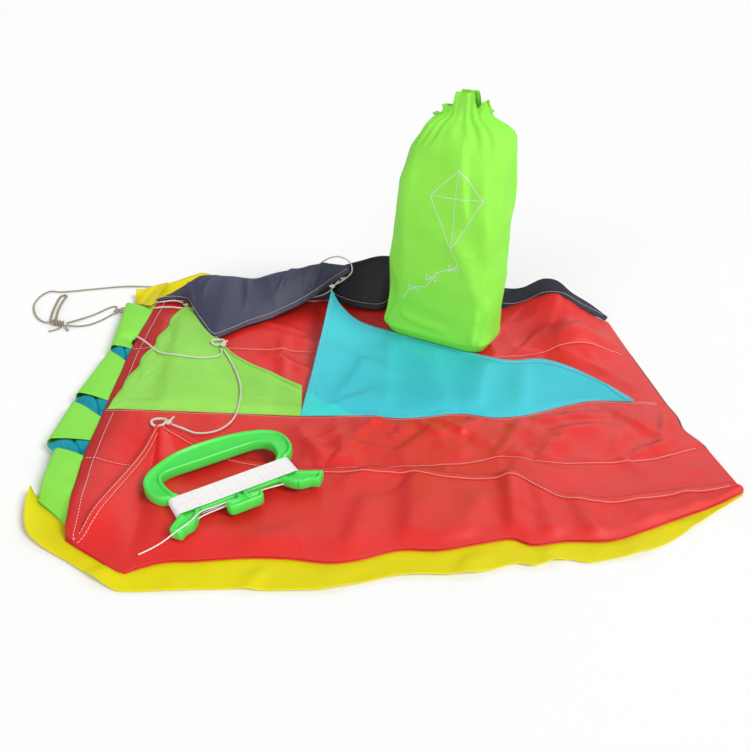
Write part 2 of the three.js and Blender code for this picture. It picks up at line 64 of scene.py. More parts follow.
# Bridle: thin braided white cords from the tips of the keels to one gather knot, a doubled trunk from
# there to the tow knot, and a tow loop. Each is tied at its ends and lies on the cloth or the floor,
# so the lie of the lower skin is worked out here first. All sizes below are in millimetres.
SEAMS = [
    [
        (-213, -187), (-203, -194), (-186, -205), (-165, -218), (-158, -214.5), (-141, -208), (-120, -207),
        (-88, -204), (-60, -204.5), (-30, -208.5), (-12, -206), (16, -197), (44, -197), (70, -191),
        (95, -186.5), (107, -192), (131, -188.5), (162, -188), (186, -179), (213, -167), (247, -152),
        (275, -136),
    ],
    [
        (-223, -112), (-140, -111), (-30, -109.5), (32, -107), (73, -102.5), (99, -97), (128, -104),
        (185, -104), (221, -98), (267, -80),
    ],
    [
        (-227, -46), (-140, -42), (-66, -38.5), (-10, -38.5), (22, -42), (48, -39.5), (75, -35.5),
        (102, -41), (128, -38), (169, -22), (194, -15.5), (228, -16.5), (256, -19),
    ],
    [(-233, 56), (-140, 68), (-30, 72), (110, 62), (205, 66), (250, 64)],
    [(-233, 160), (-140, 176), (-30, 194), (110, 171), (200, 154), (246, 138)],
]
SKIN = 2.5  # height of the flat part of the lower skin
CORD = 1.6  # thickness of the bridle cords
FLOOR = 1.2  # height of the middle of a cord that lies on the table
BROAD_FOLDS = [  # middle, height, and reach along and across
    ((196, 84), 22, 32, 27), ((192, 178), 30, 34, 46), ((178, -62), 5, 34, 30), ((120, -128), 4, 30, 34),
]
GREEN_FOLDS = [  # from, to, height, and widths on its left and right; so in every other list of folds
    ((-196, 140), (-178, -30), 4.2, 30, 9), ((-160, 80), (-140, -30), 2.4, 12, 24),
    ((-100, 20), (-96, -34), 1.8, 8, 14),
]


def ease(low, high, value):
    """Smooth step: 0 at low, 1 at high, level at both ends."""
    t = np.clip((np.asarray(value, float) - low) / (high - low), 0, 1)
    return t * t * (3 - 2 * t)


def shares(count):
    """Even shares from 0 to 1."""
    return np.linspace(0, 1, count)


def smooth_line(points, count):
    """Places on a smooth line through the points, evenly spread over its spans: each span is a cubic, and
    the slope at a point comes from its neighbours, spaced by the roots of the distances."""
    p = np.asarray(points, float)
    p = np.vstack([2 * p[0] - p[1], p, 2 * p[-1] - p[-2]])
    s = shares(count) * (len(points) - 1)
    k = np.minimum(s.astype(int), len(points) - 2)
    w = (s - k)[..., None]
    a, b, c, d = p[k], p[k + 1], p[k + 2], p[k + 3]
    ab, bc, cd = (np.linalg.norm(e, axis=-1)[..., None] ** 0.5 for e in (b - a, c - b, d - c))
    leave = bc * ((b - a) / ab - (c - a) / (ab + bc) + (c - b) / bc)
    arrive = bc * ((c - b) / bc - (d - b) / (bc + cd) + (d - c) / cd)
    bend = (w ** 3 - 2 * w ** 2 + w) * leave + (w ** 3 - w ** 2) * arrive
    return (2 * w ** 3 - 3 * w ** 2 + 1) * b + (3 * w ** 2 - 2 * w ** 3) * c + bend


def spans(line):
    """Distances from each point of a line to the next."""
    return np.linalg.norm(np.diff(line, axis=0), axis=1)


def distances(line):
    """Distance along a line from its first point to each of its points."""
    return np.concatenate([[0], np.cumsum(spans(line))])


def along_line(line, run, spots):
    """Places on a line at the spots, where run gives its own points on the same scale."""
    return np.stack([np.interp(spots, run, line[:, k]) for k in range(line.shape[1])], -1)


def unit(vectors):
    """The same directions with a length of 1."""
    return vectors / np.maximum(np.linalg.norm(vectors, axis=-1, keepdims=True), 1e-9)


def fold(x, y, start, end, height, left, right):
    """A fold from start to end: highest on that line, falling as a bell of its own width on the left
    and on the right of it, and fading at both ends."""
    ax, ay = start
    dx, dy = end[0] - ax, end[1] - ay
    size = math.hypot(dx, dy)
    along = ((x - ax) * dx + (y - ay) * dy) / size ** 2
    across = ((y - ay) * dx - (x - ax) * dy) / size
    width = np.where(across > 0, left, right)
    return height * np.exp(-((across / width) ** 2)) * ease(-0.3, 0.15, along) * ease(1.3, 0.85, along)


def all_folds(x, y, rows):
    """Sum of the folds that the rows give."""
    return sum(fold(x, y, *row) for row in rows)


def nose_rise(x, y):
    """Rise of the lower skin: a slope up to the nose, flatter in the near corner, and four broad folds."""
    slope = np.clip((-63 - x) / 150, 0, 1)
    rise = 12.5 * slope ** (6 - 5 * ease(-120, -72, y)) * (1 - 0.6 * ease(-150, -195, y))
    for (fx, fy), height, long, wide in BROAD_FOLDS:
        bell = np.exp(-(((x - fx) / long) ** 2) - ((y - fy) / wide) ** 2)
        rise = rise + height * bell * ease(-6, 40, np.abs(y + 27))
    return rise


def on_green(x, y):
    """Height of the top of the front middle keel: just above the lower skin, sewn down along its base, with
    a ridge down from its tip and softer folds beside it."""
    base = -46 + (x + 224) * 8 / 161
    lie = 1.6 + all_folds(x, y, GREEN_FOLDS)
    return SKIN + nose_rise(x, y) + 0.5 + lie * ease(0, 10, y - base)


def on_skin(x, y):
    """Height of the top of the lower skin, without its small creases."""
    return SKIN + nose_rise(x, y) + 0.9


def new_piece(name, points, faces, places, material):
    """A smooth mesh at the origin, from points in millimetres, faces as rows of point numbers, and the
    place on the cloth or cord of every face corner, in metres."""
    mesh = bpy.data.meshes.new(name)
    mesh.from_pydata((points.reshape(-1, 3) * 0.001).tolist(), [], [list(f) for f in faces])
    mesh.uv_layers.new(name="place").uv.foreach_set("vector", np.asarray(places, np.float32).ravel())
    mesh.polygons.foreach_set("use_smooth", np.ones(len(mesh.polygons), bool))
    mesh.materials.append(material)
    piece = bpy.data.objects.new(name, mesh)
    scene.collection.objects.link(piece)
    return piece


def net(rows, columns, ring=False, loop=False):
    """Four-cornered faces of a net of points, row by row, with the row and column of every corner. A
    ring joins its last column to its first, a loop its last row."""
    r, c = np.meshgrid(
        np.arange(rows if loop else rows - 1), np.arange(columns if ring else columns - 1), indexing="ij",
    )
    row = np.stack([r, r + 1, r + 1, r], -1).reshape(-1, 4)
    column = np.stack([c, c, c + 1, c + 1], -1).reshape(-1, 4)
    return (row % rows) * columns + column % columns, row, column


def tube(path, radius, sides, loop=False):
    """Rings of points round a path: each ring stands across the path, level side to side."""
    if loop:
        ahead = np.roll(path, -1, axis=0) - np.roll(path, 1, axis=0)
    else:
        ahead = np.gradient(path, axis=0)
    ahead = unit(ahead)
    side = unit(np.cross(ahead, (0.02, 0.03, 1.0)))
    up = np.cross(side, ahead)
    turn = np.arange(sides) * 2 * np.pi / sides
    out = np.cos(turn)[None, :, None] * side[:, None] + np.sin(turn)[None, :, None] * up[:, None]
    return path[:, None] + out * radius


def cord_piece(name, path, diameter, material, sides=10, loop=False):
    """A round cord along a path, closed at both ends by a flat face, or joined to itself as a loop."""
    rings = tube(path, diameter / 2, sides, loop)
    faces, row, column = net(len(path), sides, ring=True, loop=loop)
    step = spans(path).mean()
    places = np.stack([row * step * 0.001, column * math.pi * diameter / sides * 0.001], -1).reshape(-1, 2)
    faces = faces.tolist()
    if not loop:
        last = (len(path) - 1) * sides
        faces += [list(range(sides))[::-1], list(range(last, last + sides))]
        places = np.vstack([places, np.zeros((2 * sides, 2))])
    return new_piece(name, rings, faces, places, material)


def even(path, step):
    """The same path with points a fixed step apart."""
    run = distances(path)
    return along_line(path, run, np.linspace(0, run[-1], max(8, int(run[-1] / step))))


def fitted(piece, body, slot, *nodes):
    """Says which body the piece moves with and hides the CAD nodes that it stands for; the slot is not used.
    """
    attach(piece, body)
    if nodes:
        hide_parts(*nodes)
    return piece


def declare_cord(path):
    """Works out the length of the path in metres and does nothing with it; the path is in millimetres."""
    spans(path).sum() * 0.001


def group(name, inputs, outputs):
    """An empty shader group with named sockets, and its in and out nodes."""
    tree = bpy.data.node_groups.new(name, "ShaderNodeTree")
    for label, kind in inputs:
        tree.interface.new_socket(label, in_out="INPUT", socket_type=kind)
    for label, kind in outputs:
        tree.interface.new_socket(label, in_out="OUTPUT", socket_type=kind)
    return tree, tree.nodes.new("NodeGroupInput"), tree.nodes.new("NodeGroupOutput")


def sums(tree, kind, a, b):
    """One arithmetic node; a and b are sockets or numbers."""
    node = tree.nodes.new("ShaderNodeMath")
    node.operation = kind
    for slot, value in zip(node.inputs, (a, b)):
        if hasattr(value, "node"):
            tree.links.new(value, slot)
        else:
            slot.default_value = value
    return node.outputs[0]


def finish(name, colour, roughness, sheen=0.0, shine=0.3):
    """A new material with its shader, and the place on the piece as a socket."""
    material = bpy.data.materials.new(name)
    material.use_nodes = True
    tree = material.node_tree
    shader = tree.nodes["Principled BSDF"]
    shader.inputs["Base Color"].default_value = (*colour, 1)
    shader.inputs["Roughness"].default_value = roughness
    shader.inputs["Specular IOR Level"].default_value = shine
    shader.inputs["Sheen Weight"].default_value = sheen
    shader.inputs["Sheen Roughness"].default_value = 0.45
    shader.inputs["Sheen Tint"].default_value = (*colour, 1)
    place = tree.nodes.new("ShaderNodeUVMap")
    place.uv_map = "place"
    return material, tree, shader, place.outputs[0]


def bumped(tree, shader, height):
    """Joins a height in metres to the shader as a bump."""
    bump = tree.nodes.new("ShaderNodeBump")
    bump.inputs["Strength"].default_value = 1.0
    bump.inputs["Distance"].default_value = 1.0
    tree.links.new(height, bump.inputs["Height"])
    tree.links.new(bump.outputs[0], shader.inputs["Normal"])


def tinted(tree, shader, mask, dark, light):
    """Base colour that runs from dark to light with the mask."""
    mix = tree.nodes.new("ShaderNodeMix")
    mix.data_type = "RGBA"
    mix.inputs[6].default_value = (*dark, 1)
    mix.inputs[7].default_value = (*light, 1)
    tree.links.new(mask, mix.inputs[0])
    tree.links.new(mix.outputs[2], shader.inputs["Base Color"])


def clouds(tree, place, scale, detail):
    """Soft noise from 0 to 1 over the piece."""
    noise = tree.nodes.new("ShaderNodeTexNoise")
    noise.inputs["Scale"].default_value = scale
    noise.inputs["Detail"].default_value = detail
    tree.links.new(place, noise.inputs["Vector"])
    return noise.outputs[0]


def placed(tree, effect, place):
    """A shader group set into a material, read at the place on the piece."""
    node = tree.nodes.new("ShaderNodeGroup")
    node.node_tree = effect
    tree.links.new(place, node.inputs[0])
    return node


braid, braid_in, braid_out = group(
    "braided_strands", [("Place", "NodeSocketVector"), ("Pitch", "NodeSocketFloat")],
    [("Height", "NodeSocketFloat")],
)
braid_axes = braid.nodes.new("ShaderNodeSeparateXYZ")
braid.links.new(braid_in.outputs[0], braid_axes.inputs[0])
braid_run = sums(braid, "DIVIDE", braid_axes.outputs[0], braid_in.outputs[1])
braid_round = sums(braid, "DIVIDE", braid_axes.outputs[1], braid_in.outputs[1])
braid_waves = []
FULL_TURN = 6.283
for kind in ("ADD", "SUBTRACT"):
    slant = sums(braid, kind, braid_run, braid_round)
    braid_waves.append(sums(braid, "SINE", sums(braid, "MULTIPLY", slant, FULL_TURN), 0))
braid.links.new(sums(braid, "MAXIMUM", *braid_waves), braid_out.inputs[0])


def cord_finish(name, dark, light, pitch, depth):
    """Braided cord: crossing strands as a bump; its colour is darker between them, painted shade in the
    grooves, and where it is soiled.
    """
    material, tree, shader, place = finish(name, light, 0.8, sheen=0.2, shine=0.2)
    strands = placed(tree, braid, place)
    strands.inputs[1].default_value = pitch
    bumped(tree, shader, sums(tree, "MULTIPLY", strands.outputs[0], depth))
    grime = clouds(tree, place, 160, 3)
    # Painted shade in the grooves between the strands, and random soiling from the clouds.
    mask = sums(tree, "ADD", sums(tree, "MULTIPLY", strands.outputs[0], 0.3), grime)
    tinted(tree, shader, mask, dark, light)
    return material


def by_place(material, limits, tint, way=(1, 0, 0)):
    """Base colour times a tint that comes in along a way through the object, between two distances."""
    tree = material.node_tree
    shade = tree.nodes["Principled BSDF"].inputs["Base Color"]
    mix = tree.nodes.new("ShaderNodeMix")
    mix.data_type, mix.blend_type = "RGBA", "MULTIPLY"
    mix.inputs[7].default_value = (*tint, 1)
    reach = tree.nodes.new("ShaderNodeMapRange")
    reach.inputs[1].default_value, reach.inputs[2].default_value = limits
    along = tree.nodes.new("ShaderNodeVectorMath")
    along.operation = "DOT_PRODUCT"
    along.inputs[1].default_value = way
    tree.links.new(tree.nodes.new("ShaderNodeTexCoord").outputs["Object"], along.inputs[0])
    tree.links.new(along.outputs["Value"], reach.inputs[0])
    tree.links.new(reach.outputs[0], mix.inputs[0])
    tree.links.new(shade.links[0].from_socket, mix.inputs[6])
    tree.links.new(mix.outputs[2], shade)


# The cord is darker and browner towards the tow loop.
bridle_braid = cord_finish("white braided cord", (0.5, 0.47, 0.39), (0.86, 0.83, 0.76), 0.0009, 0.0001)
by_place(bridle_braid, (-0.225, -0.275), (0.46, 0.41, 0.33))


def on_cloth(points, top, clear=0.0):
    """Route with its heights from the cloth that it lies on, a cord's radius above it."""
    return [(x, y, float(top(np.array(x), np.array(y))) + CORD / 2 + clear) for x, y in points]


ROUTES = {
    "bridle_near": on_cloth([(-165, -68), (-156, -72)], on_skin, 2.4)
    + on_cloth([(-145, -74), (-130, -70), (-119, -53)], on_skin)
    + on_cloth([(-117, -22), (-121, 2), (-131, 29), (-140, 48), (-144, 55)], on_green, 0.9),
    "bridle_far_front": on_cloth(
        [(-147, 56), (-145, 47), (-150, 38), (-164, 33), (-182, 34.5), (-204, 46), (-217, 60)], on_green, 1.2,
    ) + [
        (-231, 75, 18), (-238, 84, 10.5), (-244, 100, 6.5), (-250, 125, 5), (-256, 150, 3.4),
        (-262, 164, 2.4), (-270, 165, 2.2), (-276, 161, 3.2),
    ],
    "bridle_mid_front": [
        (-203, 149, 19), (-212, 152.5, 19.6), (-224, 153.5, 18), (-231, 155, 16.2), (-238, 158, 12.4),
        (-247, 163, 7.6), (-257, 169, 3.6), (-267, 173.5, 1.8), (-276, 172, FLOOR), (-280, 164, 2.4),
    ],
    "bridle_far_rear": [
        (-39, 180, 31), (-52, 178, 17), (-72, 173, 13), (-100, 168, 14), (-140, 160, 17), (-178, 143, 18),
        (-199, 138, 18), (-213, 140, 18.2), (-225, 141, 17.4), (-232, 143, 15.6), (-239, 149.5, 11.6),
        (-248, 157, 7), (-258, 162, 3.4), (-267, 161, 2), (-275, 158, 2.6),
    ],
    "bridle_mid_rear": [
        (-43.5, 160, 34), (-34, 166, 37), (-25, 176, 42), (-27, 188, 48), (-39, 197, 51), (-52, 203, 46),
        (-66, 207, 34), (-86, 212, 12), (-102, 217, 5), (-122, 224, 2.8), (-140, 231, 2.4),
        (-158, 232.4, FLOOR), (-190, 229.5, FLOOR), (-225, 228, FLOOR), (-262, 227.5, FLOOR),
        (-290, 228, FLOOR), (-325, 220.5, FLOOR), (-359, 213, FLOOR), (-371, 215, FLOOR),
        (-377, 205, FLOOR), (-376.5, 180, FLOOR), (-361, 149, FLOOR), (-349, 138.5, FLOOR),
        (-339, 134.6, 3.4), (-330, 131.4, 3.4), (-323, 126.5, 1.8), (-318, 119.5, FLOOR),
    ],
    "bridle_trunk_a": [
        (-323.9, 133.2, 2.8), (-304.5, 154, FLOOR), (-291, 172.6, FLOOR), (-286.5, 176, FLOOR),
        (-282.6, 172, 1.6), (-281, 164, 2.4),
    ],
    "bridle_trunk_b": [
        (-323.8, 129.4, 2.4), (-311, 129.4, FLOOR), (-300, 133, FLOOR), (-291, 142.5, FLOOR),
        (-285, 153, FLOOR), (-281.5, 157.4, 2),
    ],
    "tow_loop": [
        (-334, 134.8, 2.8), (-342.4, 139.6, 1.6), (-348.2, 157, 1.4), (-352, 178, 1.4), (-354.4, 196, 1.4),
        (-354.3, 201, 1.4), (-351, 204.2, 1.4), (-347.9, 201, 1.4), (-348, 196, 1.4), (-346.6, 178, 1.4),
        (-342.6, 157, 1.4), (-337.4, 141, 1.6), (-332, 134, 2.8),
    ],
}
FOLLOWS = {  # keel at the cord's end, and from where to where the cord goes over to it, in metres
    "bridle_near": ("far_front_keel", (-0.119, -0.053, 0.01), (-0.142, 0.049, 0.01)),
    "bridle_far_front": ("far_front_keel", (-0.231, 0.075, 0.017), (-0.147, 0.050, 0.016)),
    "bridle_mid_front": ("mid_front_keel", (-0.286, 0.165, 0.01), (-0.204, 0.149, 0.019)),
    "bridle_far_rear": ("far_rear_keel", (-0.080, 0.172, 0.013), (-0.040, 0.180, 0.030)),
    "bridle_mid_rear": ("mid_rear_keel", (-0.3, 0.228, 0.0), (-0.043, 0.161, 0.034)),
}
TOW_CORD, CORD_STEP = 2.2, 1.2
for cord_name, stops in ROUTES.items():
    thick = TOW_CORD if cord_name == "tow_loop" else CORD
    way = even(smooth_line(stops, 400), CORD_STEP)
    piece = cord_piece(cord_name, way, thick, bridle_braid)
    if cord_name in FOLLOWS:
        keel, start, end = FOLLOWS[cord_name]
        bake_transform(piece)
    else:
        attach(piece, "sail")
    nodes = [cord_name, "tow_tail"] if cord_name == "bridle_mid_rear" else [cord_name]
    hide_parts(*nodes)
    declare_cord(way)


# Knots and rings of the bridle: overhand knots pulled tight in the same cord, with turns of cord wrapped
# round the tow knot, and on the tips of two keels a small loop of cord with its knot and a short cut end.
KNOT_SIZE, KNOT_CORD = 4.4, 1.9
KNOTS = {
    "gather_knot": ((-279.5, 160.5, 2.9), 0.4, "sail"),
    "tow_knot": ((-329.5, 132, 2.9), -0.3, "sail"),
    "mid_front_keel_knot": ((-199, 147, 17.4), 0.4, "mid_front_keel"),
    "mid_rear_keel_knot": ((-45, 157.5, 34), 0.4, "mid_rear_keel"),
    "far_rear_keel_knot": ((-34.3, 180.5, 32.5), 0.4, "far_rear_keel"),
}
WRAP_TURNS, WRAP_WIDE, WRAP_HIGH = 3.5, 3.1, 2.1
RINGS = {
    "near_keel_ring": ((-176, -66), "sail", (8, -1), on_skin),
    "far_front_keel_ring": ((-151, 65), "far_front_keel", (6, -6), on_green),
}
RING_LONG, RING_WIDE, RING_CORD, RING_CLEAR = 6, 5.2, 2.2, 3.4
TIP_KNOT, TIP_KNOT_CORD, TIP_END_CORD = 4.0, 1.8, 1.7


def knot_path(centre, size, turn=0.4):
    """An overhand knot drawn tight: a line that winds twice round while it weaves three times up and
    down, flattened."""
    t = np.linspace(0, 2 * np.pi, 72, endpoint=False)
    x = np.sin(t) + 2 * np.sin(2 * t)
    y = np.cos(t) - 2 * np.cos(2 * t)
    c, s = math.cos(turn), math.sin(turn)
    lump = np.stack([1.2 * (c * x - s * y), s * x + c * y, -0.9 * np.sin(3 * t)], -1)
    return np.array(centre) + lump * size / 6


for knot_name, (centre, turn, body) in KNOTS.items():
    lump = knot_path(centre, KNOT_SIZE, turn)
    piece = cord_piece(knot_name, lump, KNOT_CORD, bridle_braid, sides=8, loop=True)
    fitted(piece, body, "bridle_cord", knot_name)

wrap = shares(120)
spin = 2 * np.pi * WRAP_TURNS * wrap
wrapped = np.stack(
    [-339 + 13 * wrap, 135.6 - 4.4 * wrap + WRAP_WIDE * np.cos(spin), 3.1 + WRAP_HIGH * np.sin(spin)], -1,
)
tail = smooth_line([(-326, 127.2, 2.6), (-331, 122.6, FLOOR), (-337.5, 118, FLOOR)], 16)
for part_name, line in (("tow_knot_wrap", wrapped), ("tow_knot_end", tail)):
    fitted(cord_piece(part_name, line, CORD, bridle_braid, sides=8), "sail", "bridle_cord")

for ring_name, ((x, y), body, (kx, ky), top) in RINGS.items():
    z = float(top(np.array(x), np.array(y))) + RING_CLEAR
    t = np.linspace(0, 2 * np.pi, 48, endpoint=False)
    oval = np.stack([x + RING_LONG * np.cos(t), y + RING_WIDE * np.sin(t), z + 0.5 * np.cos(2 * t)], -1)
    fitted(cord_piece(ring_name, oval, RING_CORD, bridle_braid, loop=True), body, "bridle_cord", ring_name)
    tip = np.array([x + kx, y + ky, z])
    lump = knot_path(tip + (0, 0, 0.4), TIP_KNOT)
    stub = smooth_line(tip + np.array([(0, 0, 0.6), (2, 4, 1), (2.5, 8, 0)]), 16)
    knot = cord_piece(ring_name + "_knot", lump, TIP_KNOT_CORD, bridle_braid, sides=8, loop=True)
    end = cord_piece(ring_name + "_end", stub, TIP_END_CORD, bridle_braid, sides=8)
    for part in (knot, end):
        fitted(part, body, "bridle_cord")


# Lower skin: four long cells of thin red nylon between five sewn seams, uppermost as the kite lies.
# It slopes up to the open nose, where it has a stitched hem, and is loose and folded towards the back.
RED = (0.79, 0.022, 0.017)
SKIN_CREASES = [
    ((138, -46), (192, -38), 3.2, 5, 6), ((146, -66), (188, -58), 2.4, 5, 8),
    ((204, -28), (230, -62), 3.4, 5, 7), ((58, -44), (74, -62), 2.6, 4, 6),
    ((86, -44), (70, -64), 2.0, 4, 5), ((38, -48), (54, -66), 2.2, 5, 5),
    ((-32, -56), (-16, -102), 3.0, 6, 10), ((-4, -48), (-26, -86), 2.4, 5, 8),
    ((18, -92), (52, -54), 2.6, 6, 10), ((-64, -56), (-42, -98), 2.2, 6, 9),
    ((98, -92), (122, -54), 2.6, 6, 9), ((130, -98), (152, -74), 2.2, 5, 8),
    ((234, -72), (250, -36), 2.4, 5, 8), ((206, -94), (242, -74), 2.4, 5, 7),
    ((-190, -58), (-150, -96), 1.4, 8, 14), ((200, 170), (166, 92), 1.8, 5, 12),
    ((150, 150), (112, 98), 1.4, 4, 9), ((216, 160), (184, 92), 1.4, 5, 12),
    ((230, 152), (204, 92), 1.6, 5, 12), ((206, 52), (238, 4), 2.6, 6, 9),
    ((180, 60), (216, 30), 2.2, 5, 9), ((-112, 110), (-66, 92), 2.0, 6, 10),
    ((-102, 62), (-64, 38), 2.4, 5, 8), ((-92, 88), (-84, 28), 2.2, 5, 7),
    ((-122, 132), (-80, 112), 2.0, 5, 8), ((-212, 20), (-196, -30), 1.4, 6, 8),
    ((-216, 120), (-206, 70), 1.6, 6, 8),
]
NEAR_SMALL, FAR_SMALL = 34, 10
SMALL = NEAR_SMALL + FAR_SMALL
dice = np.random.default_rng(17)
small_x = dice.uniform(-60, 245, SMALL)
small_y = np.concatenate([dice.uniform(-104, -22, NEAR_SMALL), dice.uniform(10, 130, FAR_SMALL)])
small_turn = dice.choice([-1, 1], SMALL) * dice.uniform(0.2, 1.1, SMALL)
small_long = dice.uniform(10, 34, SMALL)
small_high = dice.uniform(0.7, 2.2, SMALL)
small_wide = dice.uniform(1.8, 3.2, SMALL)
for x, y, turn, long, high, wide in zip(small_x, small_y, small_turn, small_long, small_high, small_wide):
    end = (x + long * math.cos(turn), y + long * math.sin(turn))
    SKIN_CREASES.append(((x, y), end, high, wide, 3 * wide))


def edge(points, share):
    """Places on the smooth line through the points, at shares of its length from 0 to 1."""
    line = smooth_line(points, 600)
    run = distances(line)
    return along_line(line, run / run[-1], share)


def between(a, b, share):
    """Places straight across from a to b, at shares from 0 to 1."""
    return a + (b - a) * share[..., None]


def ripple(x, y, size, seed):
    """Smooth noise from about -1 to 1: a random slope at every corner of a square net of that size, which
    stands askew, blended across each square by smooth steps."""
    count = 64
    turns = np.random.default_rng(seed).uniform(0, 2 * np.pi, (count, count))
    x, y = 0.8 * x - 0.6 * y, 0.6 * x + 0.8 * y
    ix, iy = np.floor(x / size).astype(int), np.floor(y / size).astype(int)
    fx, fy = x / size - ix, y / size - iy

    def corner(right, up):
        turn = turns[(ix + right) % count, (iy + up) % count]
        return np.cos(turn) * (fx - right) + np.sin(turn) * (fy - up)

    wx, wy = ease(0, 1, fx), ease(0, 1, fy)
    low = corner(0, 0) + wx * (corner(1, 0) - corner(0, 0))
    high = corner(0, 1) + wx * (corner(1, 1) - corner(0, 1))
    return 1.5 * (low + wy * (high - low))


def seam_place(number, x):
    """Distance across the cloth of a seam at a distance along it."""
    line = smooth_line(SEAMS[number], 200)
    return np.interp(x, line[:, 0], line[:, 1])


def skin_top(x, y):
    """Height of the lower skin: its rise, listed creases, sharp-edged noise that grows to the back, and
    puckers that fade away from each seam, with the seam itself drawn down."""
    detail = all_folds(x, y, SKIN_CREASES)
    detail = detail + 1.0 * (1 - np.abs(ripple(x, y, 52, 3))) ** 4 * ease(-140, 120, x) - 0.2
    detail = detail + 0.8 * ripple(x, y, 26, 5)
    for number in range(5):
        away = y - seam_place(number, x)
        gather = ripple(x * 1.6, np.full_like(x, 70.0 * number), 13, 11 + number)
        detail = detail + gather * np.exp(-np.abs(away) / 9) * (1 - np.exp(-((away / 2.5) ** 2)))
        detail = detail - 0.7 * np.exp(-((away / 2.2) ** 2))
    z = SKIN + nose_rise(x, y) + np.clip(detail, -0.9, 4.5)
    return z + (1.6 - z) * ease(8, 0, y - seam_place(0, x))


def cloth_net(place, along, across):
    """Net of points of a sheet: place(u, v) at each share along and across it."""
    return place(*np.meshgrid(along, across, indexing="ij"))


CLOTH = 0.3  # thickness of the sail's cloth


def cloth_piece(name, points, material):
    """A sheet of thin cloth on a net of points; its places are lengths along and across it."""
    rows, columns = points.shape[:2]
    faces, row, column = net(rows, columns)
    long = spans(points[:, columns // 2]).sum() * 0.001
    wide = spans(points[rows // 2]).sum() * 0.001
    places = np.stack([row / (rows - 1) * long, column / (columns - 1) * wide], -1)
    piece = new_piece(name, points, faces.tolist(), places, material)
    wall = piece.modifiers.new("cloth", "SOLIDIFY")
    wall.thickness = CLOTH * 0.001
    wall.offset = 0
    return piece


def cloth_area(points):
    """Area of a net of points in square metres, half of each square's crossed diagonals."""
    a = points[1:, 1:] - points[:-1, :-1]
    b = points[1:, :-1] - points[:-1, 1:]
    return float(np.linalg.norm(np.cross(a, b), axis=-1).sum() / 2 * 1e-6)


def declare_cloth(points):
    """Works out the area of the net in square metres and does nothing with it."""
    cloth_area(points)


def sewn_panel(name, points, nylon, slot):
    """A panel sewn into the sail, in place of its CAD node."""
    piece = fitted(cloth_piece(name, points, nylon), "sail", slot, name)
    declare_cloth(points)


weave, weave_in, weave_out = group(
    "plain_weave", [("Place", "NodeSocketVector"), ("Thread", "NodeSocketFloat")],
    [("Height", "NodeSocketFloat"), ("Shade", "NodeSocketFloat")],
)
weave_axes = weave.nodes.new("ShaderNodeSeparateXYZ")
weave.links.new(weave_in.outputs[0], weave_axes.inputs[0])
weave_waves = []
HALF_TURN = 3.1416
for axis in range(2):
    count = sums(weave, "DIVIDE", weave_axes.outputs[axis], weave_in.outputs[1])
    weave_waves.append(sums(weave, "SINE", sums(weave, "MULTIPLY", count, HALF_TURN), 0))
weave_over = sums(weave, "MULTIPLY", *weave_waves)
weave.links.new(weave_over, weave_out.inputs[0])
weave.links.new(sums(weave, "ADD", sums(weave, "MULTIPLY", weave_over, 0.5), 0.5), weave_out.inputs[1])

crinkle, crinkle_in, crinkle_out = group(
    "nylon_crinkle", [("Place", "NodeSocketVector")],
    [("Height", "NodeSocketFloat"), ("Shade", "NodeSocketFloat")],
)
crinkle_soft = clouds(crinkle, crinkle_in.outputs[0], 38, 3)
crinkle_sharp = clouds(crinkle, crinkle_in.outputs[0], 21, 1)
crinkle_ridge = sums(crinkle, "ABSOLUTE", sums(crinkle, "SUBTRACT", crinkle_sharp, 0.5), 0)
crinkle_edge = sums(crinkle, "POWER", sums(crinkle, "SUBTRACT", 1.0, crinkle_ridge), 6.0)
crinkle_waves = sums(crinkle, "MULTIPLY", crinkle_soft, 0.7)
crinkle_creases = sums(crinkle, "MULTIPLY", crinkle_edge, 0.5)
crinkle.links.new(sums(crinkle, "ADD", crinkle_waves, crinkle_creases), crinkle_out.inputs[0])
crinkle.links.new(clouds(crinkle, crinkle_in.outputs[0], 9, 2), crinkle_out.inputs[1])


def roughened(tree, shader, mask, least, most):
    """Roughness that runs from least to most with the mask."""
    reach = tree.nodes.new("ShaderNodeMapRange")
    reach.inputs[3].default_value = least
    reach.inputs[4].default_value = most
    tree.links.new(mask, reach.inputs[0])
    tree.links.new(reach.outputs[0], shader.inputs["Roughness"])


THREAD, THREAD_HIGH = 0.00035, 0.000025  # width and relief of the nylon's threads, in metres


def cloth_finish(name, colour, deep=0.8, sheen=0.1, crush=0.001, shine=0.25, rough=0.55):
    """Thin woven nylon: a plain weave and fine crinkles as a bump, painted shade in the hollows of the weave,
    and a dye and a gloss that vary a little.
    """
    dark = tuple(c * deep for c in colour)
    material, tree, shader, place = finish(name, colour, rough, sheen, shine)
    threads = placed(tree, weave, place)
    threads.inputs[1].default_value = THREAD
    crumple = placed(tree, crinkle, place)
    fine = sums(tree, "MULTIPLY", threads.outputs[0], THREAD_HIGH)
    bumped(tree, shader, sums(tree, "ADD", fine, sums(tree, "MULTIPLY", crumple.outputs[0], crush)))
    # Painted shade in the hollows of the weave, with a dye that varies at random.
    shade = sums(tree, "ADD", sums(tree, "MULTIPLY", threads.outputs[1], 0.25), crumple.outputs[1])
    tinted(tree, shader, shade, dark, colour)
    roughened(tree, shader, crumple.outputs[1], rough - 0.07, rough + 0.07)
    return material


# The red is painted darker along the hem of the nose: painted shade, where the cloth there faces away from
# the light.
red_nylon = cloth_finish("red nylon", RED, sheen=0.05, shine=0.5, rough=0.42)
by_place(red_nylon, (-0.2, -0.222), (0.6, 0.34, 0.36))


def trailing_dip(y, u):
    """How far the trailing edge falls back towards the nose: a bell across the sail, near that edge only."""
    return 5 * np.exp(-(((y + 56) / 13) ** 2)) * ease(0.85, 1, u)


